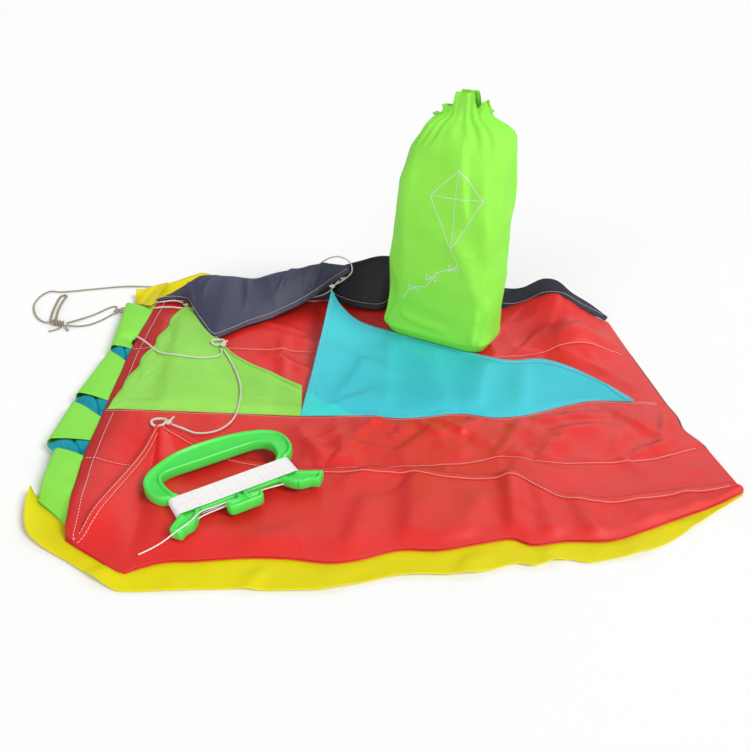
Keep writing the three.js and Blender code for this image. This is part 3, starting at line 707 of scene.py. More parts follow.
def skin_panel(cell):
    """Place on a cell of the lower skin: straight across from one seam to the next, at the skin's height,
    running down to the upper skin at the trailing edge."""
    def place(u, v):
        p = between(edge(SEAMS[cell], u), edge(SEAMS[cell + 1], u), v)
        p[..., 0] -= trailing_dip(p[..., 1], u)
        z = skin_top(p[..., 0], p[..., 1])
        z = z + (1.3 - z) * 0.8 * ease(0.965, 1, u)
        return np.concatenate([p, z[..., None]], -1)
    return place


SKIN_FLAT = [(0.51, 0.112), (0.51, 0.082), (0.51, 0.112), (0.51, 0.14)]
for cell, flat in enumerate(SKIN_FLAT):
    name, below = f"lower_panel_{cell + 1}", f"upper_panel_{cell + 1}"
    points = cloth_net(skin_panel(cell), shares(300), shares(64))
    sewn_panel(name, points, red_nylon, "red_cloth")


# Stitching of the sail: rows of white lock stitches along the ribs and along the hem of the nose. Each is
# a short bow of thread that dips into the cloth at both ends.
STITCH_STEP, STITCH_SHARE, STITCH_THREAD = 2.7, 0.84, 0.46
STITCH_BOW = np.array([-0.5, 0.35, 0.62, 0.7, 0.62, 0.35, -0.5])
STITCH_WIDTH = np.array([0.5, 0.9, 1, 1, 1, 0.9, 0.5])
STITCH_SIDES = 6


def stitch_piece(name, rows, material):
    """All the stitches of one piece of cloth as one mesh. Every row gives points and normals; each stitch
    is a thin tube along it, raised by the bow and as wide as the width at each of its places."""
    turn = np.arange(STITCH_SIDES) * np.pi / 3
    one, _, _ = net(len(STITCH_BOW), STITCH_SIDES, ring=True)
    count = len(STITCH_BOW) * STITCH_SIDES
    points, faces, done = [], [], 0
    for path, normals in rows:
        run = distances(path)
        starts = np.arange(0.4, run[-1] - STITCH_STEP, STITCH_STEP)
        spots = starts[:, None] + np.linspace(0, STITCH_SHARE * STITCH_STEP, len(STITCH_BOW))
        centre, up = along_line(path, run, spots), along_line(normals, run, spots)
        side = np.cross(unit(np.gradient(centre, axis=1)), up)
        centre = centre + up * (STITCH_BOW * STITCH_THREAD)[:, None]
        out = side[:, :, None] * np.cos(turn)[:, None] + up[:, :, None] * np.sin(turn)[:, None]
        reach = (STITCH_WIDTH * STITCH_THREAD / 2)[:, None, None]
        points.append((centre[:, :, None] + out * reach).reshape(-1, 3))
        faces.append((one + done + count * np.arange(len(starts))[:, None, None]).reshape(-1, 4))
        done += count * len(starts)
    points, faces = np.concatenate(points), np.concatenate(faces)
    places = np.tile([[0, 0], [0.001, 0], [0.001, 0.001], [0, 0.001]], (len(faces), 1))
    return new_piece(name, points, faces.tolist(), places, material)


def row_on(place, u, v, raised=0.15, side=1):
    """Points and normals of a line on one side of a sheet, at shares along and across it."""
    e = 1e-3
    along = place(u + e, v) - place(u - e, v)
    across = place(u, v + e) - place(u, v - e)
    n = unit(side * np.cross(along, across))
    return place(u, v) + raised * n, n


white_thread = cord_finish("white thread", (0.62, 0.5, 0.46), (0.84, 0.76, 0.73), 0.0005, 0.00003)
RIB_ROW, DOUBLE_ROW, HEM_SHARE = 0.012, 0.982, 0.017
run = np.linspace(0.002, 0.985, 420)
across = np.linspace(0.01, 0.99, 160)
rows = [row_on(skin_panel(cell), run, np.full_like(run, RIB_ROW)) for cell in range(1, 4)]
rows.append(row_on(skin_panel(1), run, np.full_like(run, DOUBLE_ROW)))
rows += [row_on(skin_panel(cell), np.full_like(across, HEM_SHARE), across) for cell in range(4)]
fitted(stitch_piece("sail_stitches", rows, white_thread), "sail", "bridle_cord")


# Upper skin: navy nylon cut in four cells, flat on the floor under the lower skin. Its trailing edge
# shows as a narrow dark border past the red one.
NAVY = (0.05, 0.054, 0.1)
NEAR_INNER = [
    (-250, -139), (-234, -147), (-222, -162), (-205, -184), (-180, -195), (-160, -205), (-100, -199),
    (-50, -198), (60, -186), (160, -178), (205, -164), (268, -133),
]
FAR_INNER = [(-265, 182), (-215, 162), (-140, 168), (-60, 181), (80, 168), (195, 148), (244, 133)]
navy_nylon = cloth_finish("navy nylon", NAVY, deep=0.7, sheen=0.3, shine=0.45)
upper_lines = [[(-206, -182)] + [(x, y + 1) for x, y in NEAR_INNER[5:]]] + SEAMS[1:4]
upper_lines.append([(x, y - 2) for x, y in FAR_INNER[1:]])


def upper_panel(cell):
    """Place on a cell of the upper skin: straight across between its seams, with faint waves, and past
    the lower skin by a narrow border at the trailing edge."""
    def place(u, v):
        p = between(edge(upper_lines[cell], u), edge(upper_lines[cell + 1], u), v)
        x, y = p[..., 0], p[..., 1]
        x = x - trailing_dip(y, u)
        border = ease(0.96, 1, u)
        z = 0.35 + 0.25 * (1 + ripple(x, y, 40, 21)) * (1 - border) + 0.5 * border
        return np.stack([x + 1.3 * border, y, z], -1)
    return place


UPPER_FLAT = [(0.5, 0.11), (0.51, 0.082), (0.51, 0.112), (0.51, 0.13)]
for cell, flat in enumerate(UPPER_FLAT):
    points = cloth_net(upper_panel(cell), shares(120), shares(26))
    sewn_panel(f"upper_panel_{cell + 1}", points, navy_nylon, "navy_cloth")


# Side panels: strips of yellow nylon sewn along both sides of the sail. The near one lies out flat with
# a wavy edge and its front corner curls up; the far one shows only at the nose.
YELLOW = (0.84, 0.74, 0.001)
NEAR_EDGE = [
    (-255, -137), (-251.5, -156), (-241, -181), (-201, -209), (-166, -231), (-160, -232), (-134, -231.5),
    (-93, -230), (-63, -231.5), (-28, -230), (-8, -225), (16, -219), (67, -217), (95, -208.5),
    (105, -210.5), (129, -204.5), (142, -207), (159, -204), (192, -193.5), (236, -164.5), (274, -138),
]
FAR_EDGE = [(-268, 200), (-215, 217), (-140, 229.5), (-60, 233), (80, 206), (195, 164), (245, 139)]
NEAR_CREASES = [
    ((-196, -232), (-150, -190), 2.2, 7, 14), ((-84, -238), (-70, -200), 1.8, 9, 5),
    ((-20, -236), (-44, -196), 1.6, 6, 12), ((54, -228), (70, -186), 2.0, 6, 12),
    ((122, -214), (112, -176), 2.4, 8, 5), ((180, -200), (170, -170), 1.6, 6, 9),
    ((226, -176), (210, -158), 1.5, 5, 7),
]
FAR_STAND = [(-272, -266, -258, -246, -223, -196, -176, -140), (9.4, 9, 7.4, 10, 14, 21, 14, 0)]
yellow_nylon = cloth_finish("yellow nylon", YELLOW, deep=0.84)


def side_near(u, v):
    """Place on the near side panel: across from its outer edge to the sail; the edge is wavy, creases run
    across it, and the front corner curls up."""
    p = between(edge(NEAR_EDGE, u), edge(NEAR_INNER, u), v)
    x, y = p[..., 0], p[..., 1]
    wave = (1 - v) ** 2 * (1.1 + np.sin(x / 19.0) * np.sin(x / 31.0 + 1))
    wave = wave * ease(0.02, 0.2, u) * ease(1.0, 0.93, u)
    creases = all_folds(x, y, NEAR_CREASES) * ease(0.75, 0.3, v)
    curl = 8.5 * ease(0.15, 0.0, u) * ease(0.55, 0.0, v)
    z = 0.4 + wave + creases + curl + 0.25 * (1 + ripple(x, y, 16, 33)) * (1 - v)
    return np.stack([x, y, z], -1)


def side_far(u, v):
    """Place on the far side panel: across from the sail to its outer edge, which stands up behind
    the front keel."""
    p = between(edge(FAR_INNER, u), edge(FAR_EDGE, u), v)
    x, y = p[..., 0], p[..., 1]
    stand = np.interp(x, *FAR_STAND)
    curl = stand * v ** 1.2 + 3.0 * fold(x, y, (-262, 176), (-250, 206), 1.0, 4, 7)
    wave = 0.4 * v * (1 + ripple(x, y, 30, 35))
    return np.stack([x, y, 0.4 + curl + wave], -1)


CORNER_FREE = [
    (-265, 182, 1.4), (-259, 171, 6), (-249, 158, 12.4), (-240, 146.5, 17), (-235.6, 144, 18.4),
    (-233.4, 149, 19), (-235, 156.5, 18.4),
]
CORNER_TOP = [
    (-268, 201, 10.4), (-262, 203.4, 9), (-255, 206, 9.4), (-249, 208, 11), (-243, 210, 12.2),
    (-238, 211.4, 13), (-234, 212.4, 13.8),
]


def far_corner(u, v):
    """Place on the front corner of the far side panel: it is folded over towards the sail, from the edge
    that stands up to the free edge of the fold, and hollow along a crease."""
    p = between(edge(CORNER_FREE, u), edge(CORNER_TOP, u), v)
    x, y = p[..., 0], p[..., 1]
    p[..., 2] += fold(x, y, (-252, 160), (-247, 204), -2.4, 5, 9) * ease(0, 0.2, v) * ease(1, 0.7, v)
    return p


points = cloth_net(far_corner, shares(60), shares(40))
fitted(cloth_piece("side_panel_far_corner", points, yellow_nylon), "sail", "yellow_cloth")
for name, place, flat, extras in (
    ("side_panel_near", side_near, (0.6, 0.04), ()),
    ("side_panel_far", side_far, (0.53, 0.06), ("side_panel_far_corner",)),
):
    points = cloth_net(place, shares(260), shares(22))
    sewn_panel(name, points, yellow_nylon, "yellow_cloth")


# Nose: over the front of each cell a panel of light green nylon curls from under the hem of the lower
# skin round to the upper skin, as a soft half tube that stays open to let the wind in.
LIME = (0.285, 0.83, 0.085)
NOSE_HEMS = np.array([
    [(-213, -176), (-224, -108)], [(-225, -88), (-228, -54)], [(-228.5, -31), (-232, 36)],
    [(-232.5, 59), (-235, 144.5)],
])
NOSE_FRONTS = np.array([
    [(-247, -147), (-252, -96)], [(-262, -85), (-261, -30)], [(-262, -17), (-256, 58)],
    [(-257, 68), (-269, 162)],
])
NOSE_RADIUS = 6.4
NOSE_FLAT = [(0.094, 0.085), (0.075, 0.085), (0.1, 0.085), (0.125, 0.085)]
lime_nylon = cloth_finish("light green nylon", LIME, deep=0.8, crush=0.0012)


def nose_panel(cell):
    """Place on a nose panel: along its hem, and round its profile, which runs out flat on the floor, turns
    through a half circle at the front and comes back over the top to the hem. The near end of the first
    panel is pressed flat, and the last one gapes where a cord goes in."""
    def place(u, v):
        hem, front = between(*NOSE_HEMS[cell], u), between(*NOSE_FRONTS[cell], u)
        reach = np.linalg.norm(front - hem, axis=-1)
        r = NOSE_RADIUS * (0.12 + 0.88 * ease(-0.02, 0.45, u)) if cell == 0 else NOSE_RADIUS + 0 * u
        flat, curl = reach - r, np.pi * r
        mouth = np.exp(-(((u - 0.22) / 0.12) ** 2)) * (cell == 3)
        s = 0.5 + v * (2 * flat + 2.5 + curl - 0.5 - 9 * mouth)
        turn = np.clip((s - flat) / r, 0, np.pi)
        out = np.where(s < flat + curl, np.minimum(s, flat), flat - (s - flat - curl)) + r * np.sin(turn)
        up = 1.0 + r * (1 - np.cos(turn))
        p = hem + (front - hem) * (out / reach)[..., None]
        x, y = p[..., 0], p[..., 1]
        slack = ripple(x + 40 * cell, y, 26, 41) * ease(0.3, 1.2, turn)
        swell = np.sin(np.pi * np.clip(out / reach, 0, 1)) * ease(1.6, 3.1, turn)
        swell = swell - 5 * mouth * ease(0.75, 1, v)
        return np.stack([x + 0.8 * slack, y, up + (0.7 * slack + swell) * r / NOSE_RADIUS], -1)
    return place


for cell, flat in enumerate(NOSE_FLAT):
    points = cloth_net(nose_panel(cell), shares(60), shares(90))
    sewn_panel(f"nose_panel_{cell + 1}", points, lime_nylon, "green_cloth")


# Ribs: blue nylon between the cells. At the nose each one opens as a creased gusset between two nose
# panels; the rest lies folded flat between the skins.
BLUE = (0.009, 0.39, 0.5)
GUSSET = 0.3  # share of the rib's length that opens as a gusset
blue_nylon = cloth_finish("blue nylon", BLUE, deep=0.6)


def rib(seam):
    """Place on a rib: from the front, where the panels meet, a gusset that widens and rises to the hem
    with a valley down its middle and a pleat across, then a narrow strip that drops and runs back
    along the seam."""
    def place(u, v):
        t = np.clip(u / GUSSET, 0, 1)
        near = between(NOSE_FRONTS[seam - 1, 1], NOSE_HEMS[seam - 1, 1], t)
        far = between(NOSE_FRONTS[seam, 0], NOSE_HEMS[seam, 0], t)
        p = between(near, far, v)
        back = np.clip((u - GUSSET) / 0.7, 0, 1)
        line = edge(SEAMS[seam], 0.02 + back * 0.95)
        strip = np.stack([line[..., 0], line[..., 1] + (v - 0.5) * 9], -1)
        p = between(p, strip, ease(GUSSET, 0.36, u))
        rise = 1 + NOSE_RADIUS * (1 + np.sin(np.clip(t * 2.2, 0, 1) * np.pi / 2))
        valley = 4.0 * (1 - np.abs(2 * v - 1)) * ease(0, 0.5, t)
        pleat = 2.2 * np.exp(-(((t - 0.9 + 0.27 * v) / 0.045) ** 2)) * ease(1, 0.97, t)
        z = rise - 0.3 - valley - pleat
        return np.stack([p[..., 0], p[..., 1], z + (1.2 - z) * ease(GUSSET, 0.345, u)], -1)
    return place


rib_shares = np.concatenate([np.linspace(0, 0.38, 150), np.linspace(0.39, 1, 90)])
for seam in range(1, 4):
    points = cloth_net(rib(seam), rib_shares, shares(17))
    sewn_panel(f"rib_{seam}", points, blue_nylon, "blue_cloth")


# Keels: five triangles of cloth, sewn by their long side along a seam of the sail, with a stitched hem
# round their free edges and a cord on the tip. As the kite lies they have flopped over on to it.
CYAN = (0.06, 0.61, 0.73)
GREEN = (0.33, 0.78, 0.11)
# Painted shade: the far rear keel is navy cloth, and this near black stands for the shade it lies in.
SHADED_NAVY = (0.01, 0.011, 0.017)
# One corner of the turquoise keel is painted paler and greener: painted light, the green cloth below shining
# through it.
cyan_nylon = cloth_finish("turquoise nylon", CYAN, deep=0.78)
by_place(cyan_nylon, (-0.04, -0.0412), (0.9, 1.22, 1.0), (0.586, 0.809, 0))
green_nylon = cloth_finish("green nylon", GREEN, deep=0.7, crush=0.0014)
# Painted shade: the far rear keel's navy cloth is coloured near black for the shade under its overhang.
# Towards its rear end, where the light falls flat on it, the painted shade gives way to about the navy's own
# colour.
shaded_navy_nylon = cloth_finish("navy nylon in painted shade", SHADED_NAVY, deep=0.6, sheen=0.1, shine=0.3)
by_place(shaded_navy_nylon, (0.1, 0.17), (3.4, 3.6, 4.0))
NEAR_KEEL_BASE = [(x, y + 0.6) for x, y in SEAMS[0]]
NEAR_KEEL_FREE = [
    (-178, -63), (-112, -97), (-65, -109), (-30, -112), (25, -112.5), (54, -119), (96, -121), (109, -123),
    (122, -136), (142, -145), (167, -147.5), (207, -141), (238, -135), (266, -130),
]
NEAR_KEEL_FOLDS = [
    ((-66, -150), (-84, -216), 3.4, 30, 12), ((30, -118), (24, -210), 3.4, 26, 9),
    ((101, -116), (96, -194), 4.0, 9, 6), ((74, -150), (56, -200), 2.2, 8, 14),
    ((146, -146), (152, -196), 2.6, 12, 7), ((4, -136), (24, -120), -2.0, 7, 7),
    ((-30, -132), (-4, -114), 2.2, 6, 8), ((190, -152), (208, -182), 2.4, 8, 12),
    ((-6, -150), (-20, -206), 2.2, 12, 8), ((-128, -170), (-140, -214), 2.0, 12, 9),
    ((120, -140), (126, -190), 1.8, 8, 6), ((226, -140), (238, -158), 2.0, 7, 9),
]
FAR_FRONT_BASE = [
    (-232, 159), (-206, 164), (-180, 168), (-140, 174.8), (-95, 182), (-50, 189), (-28, 191.5),
]
FAR_FRONT_CREST = [
    (-234, 160, 17), (-209, 161, 28.3), (-196, 161, 37), (-183, 161, 44), (-159, 164, 41),
    (-128, 169, 36.5), (-101, 175, 42), (-79.5, 180, 45), (-55, 186, 47.5), (-28, 190, 41),
]
FAR_FRONT_FREE = [
    (-233, 156.5, 17.5), (-213, 158, 18.5), (-196, 151, 18.5), (-185.5, 125, 18), (-171, 97, 16),
    (-158, 78, 14), (-150, 84, 13.5), (-132, 106, 13), (-103, 128, 13), (-73, 154, 18), (-47, 176, 28),
    (-27, 184, 38),
]
FAR_REAR_BASE = [(-40, 196), (20, 187.4), (70, 179.2), (125, 169.6), (185, 158.4), (245, 140)]
FAR_REAR_CREST = [
    (-44, 197, 38), (-19.5, 196, 45.6), (9.7, 193, 53), (60, 185, 46), (105, 177, 30), (142.6, 172, 24.4),
    (157, 167, 27.5), (177, 161, 40), (191, 157, 40), (207.5, 153, 28.5), (227, 148, 18), (245, 139, 7),
]
FAR_REAR_FREE = [
    (-50, 188, 8), (-39, 177, 6), (-19, 164, 5.5), (8, 160, 6), (24, 173, 20), (40, 180, 30), (68, 176, 28),
    (110, 167, 16), (140, 162, 6), (162, 162, 11), (177, 158, 21.5), (194, 153, 24), (214, 146, 15),
    (242, 135, 4.5),
]
MID_FRONT_BASE = [(-224, -46), (-63, -38)]
MID_FRONT_FREE = [(-222, -34), (-212, 60), (-197, 140), (-137, 56), (-66, 6)]
MID_REAR_BASE = [(x, y + 0.5) for x, y in [(-64, -38.5)] + SEAMS[2][3:-1]]
MID_REAR_FREE = [
    (-46, 156, 27), (-37, 141, 17), (-19, 124, 7), (2, 116, 2), (10, 114, 1), (44, 96, 0), (72, 80, 0),
    (99, 64, 0.5), (112, 56, 1), (131, 49, 2), (156, 49, 3), (182, 36.5, 2), (204, 15.5, 1), (227, -15, 0),
]
CYAN_FOLDS = [
    ((-44, 64), (10, 26), 2.4, 10, 14), ((12, 74), (8, -24), 4.2, 8, 22),
    ((-30, -10), (-8, 44), 2.2, 8, 12), ((54, 66), (60, -28), 3.0, 9, 16),
    ((106, 46), (88, -24), 3.6, 7, 16), ((142, 44), (128, -20), 2.8, 7, 12),
    ((-48, -32), (-8, -10), 2.2, 5, 10), ((160, 36), (208, 4), 2.6, 7, 10), ((24, 98), (52, 30), 2.0, 8, 8),
]
PUCKERS = 58  # turns of the puckered hem along the front middle keel
OVER_SKIN = 0.6  # least height of a keel's cloth over the lower skin


def near_keel(u, v):
    """Place on the near keel: straight across from its base to its free edge, on the skin, with folds. A
    facet at the front runs down from the lifted front edge to a crease from the tip to the base."""
    p = between(edge(NEAR_KEEL_BASE, u), edge(NEAR_KEEL_FREE, u), v)
    x, y = p[..., 0], p[..., 1]
    folds = all_folds(x, y, NEAR_KEEL_FOLDS) + 0.5 * ripple(x, y, 30, 51)
    folds = folds + 1.4 * (1 - np.abs(ripple(x, y, 60, 52))) ** 4 * ease(-60, 160, x)
    under_winder = ease(1.35, 0.9, np.hypot((x + 104) / 72, (y + 136) / 46))
    fan = u / (0.115 * (1 - v) + 0.004)
    swell = np.clip(4 * v * (1 - v), 0, 1) ** 0.4
    lift = 9.0 * np.clip(1 - fan, 0, 1) * swell
    x = x + 10.5 * np.clip(1 - fan, 0, 1) * swell * (1.1 - 0.45 * v)
    y = y - 1.3 * lift
    front = lift + 4.0 * ease(1, 1.5, fan) * ease(3.4, 1.7, fan) * swell
    lie = 1.7 + np.clip(folds, -1.0, 6) * (1 - 0.95 * under_winder) * ease(1.0, 2.2, fan) + front
    z = SKIN + nose_rise(x, y) + 0.5 + lie
    z = np.maximum(z, skin_top(x, y) + OVER_SKIN)
    return np.stack([x, y, z + (3.0 - z) * ease(0.3, 0, v) ** 2], -1)


def mid_front_keel(u, v):
    """Place on the front middle keel: from its base to its free edge, whose front half is puckered."""
    a, b = edge(MID_FRONT_BASE, u), edge(MID_FRONT_FREE, u)
    front = ease(0.02, 0.08, u) * ease(0.5, 0.42, u)
    b[..., 0] += 1.7 * np.sin(u * PUCKERS) * front
    p = between(a, b, v)
    x, y = p[..., 0], p[..., 1]
    pucker = 0.8 * np.sin(u * PUCKERS + 1) * ease(0.72, 1, v) * front
    z = on_green(x, y) + 0.5 * (1 + ripple(x, y, 22, 61)) * ease(0, 0.1, v) + pucker * ease(0, 0.2, v) - 0.3
    return np.stack([x, y, np.maximum(z, skin_top(x, y) + OVER_SKIN)], -1)


def mid_rear_keel(u, v):
    """Place on the rear middle keel: from its base to its free edge, which is lifted by the cloth and
    cord below it, with soft folds."""
    a, b = edge(MID_REAR_BASE, u), edge(MID_REAR_FREE, u)
    p = between(a, b[..., :2], v)
    x, y = p[..., 0], p[..., 1]
    lift = b[..., 2] * v ** 1.6
    folds = all_folds(x, y, CYAN_FOLDS) + 0.5 * ripple(x, y, 26, 71)
    folds = np.clip(folds, -0.6, 6) * ease(0, 0.15, v) * ease(1.02, 0.8, v)
    z = SKIN + nose_rise(x, y) + 0.5 + 1.5 * ease(0, 0.08, v) + lift + folds
    return np.stack([x, y, np.maximum(z, skin_top(x, y) + OVER_SKIN)], -1)


def arch(base, crest, free, creases):
    """Place on a keel that stands up from its base and hangs over: a parabola across through its base, its
    crest and its free edge, with creases given by shares along and across."""
    seat = [(x, y, float(SKIN + 0.4 + nose_rise(np.array(float(x)), np.array(float(y))))) for x, y in base]

    def place(u, v):
        a, m, b = edge(seat, u), edge(crest, u), edge(free, u)
        w = v[..., None]
        p = a * (1 - w) * (1 - 2 * w) + m * 4 * w * (1 - w) + b * w * (2 * w - 1)
        swell = all_folds(u * 200, v * 100, creases) * ease(0, 0.2, v)
        swell = swell + 0.5 * ripple(u * 180, v * 80, 24, 81) * ease(0, 0.3, v)
        return p + swell[..., None] * np.array([0, -0.45, 0.6])
    return place


far_front_keel = arch(FAR_FRONT_BASE, FAR_FRONT_CREST, FAR_FRONT_FREE, [
    ((112, 44), (136, 96), 3.4, 5, 16), ((84, 52), (92, 100), 2.4, 10, 6),
    ((158, 46), (158, 92), 1.6, 3, 8), ((38, 55), (44, 95), 4.2, 2.4, 4), ((24, 40), (30, 96), 1.6, 5, 8),
    ((98, 50), (106, 82), 4.6, 4, 2), ((142, 50), (134, 78), 4.4, 2, 4), ((66, 46), (58, 80), 3.2, 2, 4),
    ((176, 40), (168, 84), 2.8, 2, 4),
])
far_rear_keel = arch(FAR_REAR_BASE, FAR_REAR_CREST, FAR_REAR_FREE, [
    ((150, 40), (156, 96), 1.6, 8, 14), ((120, 42), (112, 96), 1.4, 8, 10),
    ((30, 40), (36, 96), 1.2, 8, 12),
])
KEELS = {  # shape, cloth, slot, flat size, and the way off the sewn base with a point on it
    "near_keel": (near_keel, red_nylon, "red_cloth", (0.5, 0.155), None),
    "mid_front_keel": (
        mid_front_keel, green_nylon, "green_cloth", (0.2, 0.17), ((-0.0496, 0.9988, 0), (-143, -42, 10)),
    ),
    "mid_rear_keel": (
        mid_rear_keel, cyan_nylon, "cyan_cloth", (0.3, 0.2), ((-0.0576, 0.9983, 0), (85, -29, 4)),
    ),
    "far_front_keel": (
        far_front_keel, navy_nylon, "navy_cloth", (0.2, 0.15), ((0.16, -0.69, 0.705), (-139, 174.7, 9.6)),
    ),
    "far_rear_keel": (
        far_rear_keel, shaded_navy_nylon, "navy_cloth", (0.29, 0.072), ((-0.05, -0.3, 0.95), (104, 173, 3.5)),
    ),
}
KEEL_THREADS = {
    "mid_front_keel": cord_finish("green thread", (0.16, 0.46, 0.06), (0.3, 0.66, 0.14), 0.0005, 0.00003),
    "mid_rear_keel": cord_finish("pale blue thread", (0.22, 0.6, 0.66), (0.42, 0.78, 0.82), 0.0005, 0.00003),
}
HEM_WIDE, HEM_ROW, HEM_CLEAR, ROW_CLEAR = 6.5, 5.4, 0.42, 0.62
FRONT_HEM, FRONT_ROWS, FRONT_CLEAR = 7.4, (1.6, 6.4), 0.45
FRONT_HEMMED = ("near_keel", "mid_rear_keel")
UP_AND_NEAR = np.array([0, -0.5, 0.8])


def facing(points):
    """Unit normals of a net of points, from its slopes along and across."""
    return unit(np.cross(np.gradient(points, axis=0), np.gradient(points, axis=1)))


def free_edges(place, width, along):
    """Shares across, for a strip of that width along the far edge of a sheet, at shares along it."""
    last_fifth = place(along, np.ones_like(along)) - place(along, np.full_like(along, 0.8))
    reach = np.linalg.norm(last_fifth, axis=-1) / 0.2
    return 1 - np.minimum(width / np.maximum(reach, 1e-6), 0.9)


for name, (place, nylon, slot, flat, hinge) in KEELS.items():
    along = shares(240)
    points = cloth_net(place, along, shares(84))
    piece = cloth_piece(name, points, nylon)
    inner = free_edges(place, HEM_WIDE, along)[:, None]
    strip = place(np.repeat(along[:, None], 6, 1), inner + (1 - inner) * shares(6))
    outer = np.sign((facing(strip) @ UP_AND_NEAR).mean())
    extras = [cloth_piece(name + "_hem", strip + outer * HEM_CLEAR * facing(strip), nylon)]
    line = np.linspace(0.01, 0.99, 420)
    rows = [row_on(place, line, free_edges(place, HEM_ROW, line), ROW_CLEAR, outer)]
    if name in FRONT_HEMMED:
        front = spans(place(along, np.full_like(along, 0.5))).sum()
        side = np.linspace(0.02, 0.97, 260)
        rows += [row_on(place, np.full_like(side, row / front), side, ROW_CLEAR) for row in FRONT_ROWS]
        v, u = np.meshgrid(np.linspace(0.01, 1, 160), np.linspace(0, FRONT_HEM / front, 6))
        lead = place(u, v)
        extras.append(cloth_piece(name + "_front_hem", lead + FRONT_CLEAR * facing(lead), nylon))
    stitches = stitch_piece(name + "_stitches", rows, KEEL_THREADS.get(name, white_thread))
    extras.append(stitches)
    for part in [piece] + extras:
        if hinge:
            way, foot = np.array(hinge[0]), np.array(hinge[1]) * 0.001
            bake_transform(part)
        else:
            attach(part, "sail")
    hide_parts(name)
    declare_cloth(points)


# Line winder: one glossy moulding of green plastic. A raised rim follows its outline and the finger hole
# round a shallow recess; the line lies on the bar, between two horns, and is caught under the cleat.
WINDER = ((-96, -153.9, 9.02), math.radians(32))
HALF_THICK = 4.5
BAR_HALF, BAR_WIDTH, BAR_SHARE = 45, 20, 0.5  # half length, width, and share of the moulding's thickness
OUTLINE_STEP, FINE_STEP = 0.9, 0.3
WINDER_OUTLINE = [
    (13.5, -13, 5), (13.5, -5, 2), (4, -5, 1), (4, 0, 1), (30.7, 0, 3), (38, -10.5, 3), (42.5, -13.6, 3),
    (49, -14, 2.5), (54.6, -17.9, 2.5), (62.4, -10.1, 2.5), (BAR_HALF, 0, 1), (BAR_HALF, BAR_WIDTH, 1),
    (51, 22.5, 3), (56, 29.5, 4), (57.8, 39, 4.5), (56.5, 48.5, 4.5), (52, 56, 4), (45, 61.2, 4),
    (36, 65.2, 4), (24, 68.4, 5), (9, 70.6, 6), (-8, 71.2, 6), (-24.5, 69.4, 6), (-40, 63, 6),
    (-51, 55.6, 5), (-56, 48.5, 4), (-57.6, 39, 4.5), (-55.6, 29.5, 4), (-51, 22.8, 3),
    (-BAR_HALF, BAR_WIDTH, 1), (-BAR_HALF, 0, 1), (-56.5, -10.2, 2.5), (-50.5, -18, 2.5),
    (-45.5, -14.3, 2.5), (-40.5, -13.8, 3), (-36.5, -10.5, 3), (-30.7, 0, 3), (-4, 0, 1), (-4, -5, 1),
    (-13.5, -5, 2), (-13.5, -13, 5),
]
FINGER_HOLE = [
    (-40, BAR_WIDTH, 7), (-43.5, 34, 5), (-43.8, 43.5, 3.5), (-41, 48.6, 3), (-33.6, 50.2, 4),
    (-4.4, 49.6, 8), (18.6, 49.6, 7), (33.8, 49.2, 4), (40.6, 45.6, 3.5), (43.4, 39, 3.5), (42.4, 30, 5),
    (39, BAR_WIDTH, 7),
]


def rounded(corners, step):
    """A closed outline with rounded corners, its points a fixed step apart: each corner is a parabola that
    leaves the straight sides at its radius."""
    c = np.array(corners, float)
    spot, radius = c[:, :2], c[:, 2:]
    back, ahead = np.roll(spot, 1, axis=0) - spot, np.roll(spot, -1, axis=0) - spot
    a = spot + radius * back / np.linalg.norm(back, axis=1, keepdims=True)
    b = spot + radius * ahead / np.linalg.norm(ahead, axis=1, keepdims=True)
    t = shares(13)[None, :, None]
    line = ((1 - t) ** 2 * a[:, None] + 2 * t * (1 - t) * spot[:, None] + t ** 2 * b[:, None]).reshape(-1, 2)
    line = np.vstack([line, line[:1]])
    run = distances(line)
    return along_line(line, run, np.linspace(0, run[-1], int(run[-1] / step), endpoint=False))


def winder_place(points):
    """Points given along the bar, across it and up, turned and set down where the winder lies."""
    (x, y, z), turn = WINDER
    c, s = math.cos(turn), math.sin(turn)
    u, v, w = points[..., 0], points[..., 1], points[..., 2]
    return np.stack([x + c * u - s * v, y + s * u + c * v, z + w], -1)


def nearest(points, line):
    """Distance from each point to the closest point of a line."""
    return np.sqrt(((points[:, None] - line[None]) ** 2).sum(-1).min(1))


def inside(points, loops):
    """Whether points lie inside the outer loop and outside the holes: an odd number of crossings."""
    odd = np.zeros(len(points), bool)
    for loop in loops:
        x1, y1 = loop[:, 0], loop[:, 1]
        x2, y2 = np.roll(x1, -1), np.roll(y1, -1)
        x, y = points[:, :1], points[:, 1:]
        reach = x1 + (y - y1) * (x2 - x1) / np.where(y2 == y1, 1e-9, y2 - y1)
        odd ^= ((((y1 > y) != (y2 > y)) & (x < reach)).sum(1) % 2).astype(bool)
    return odd


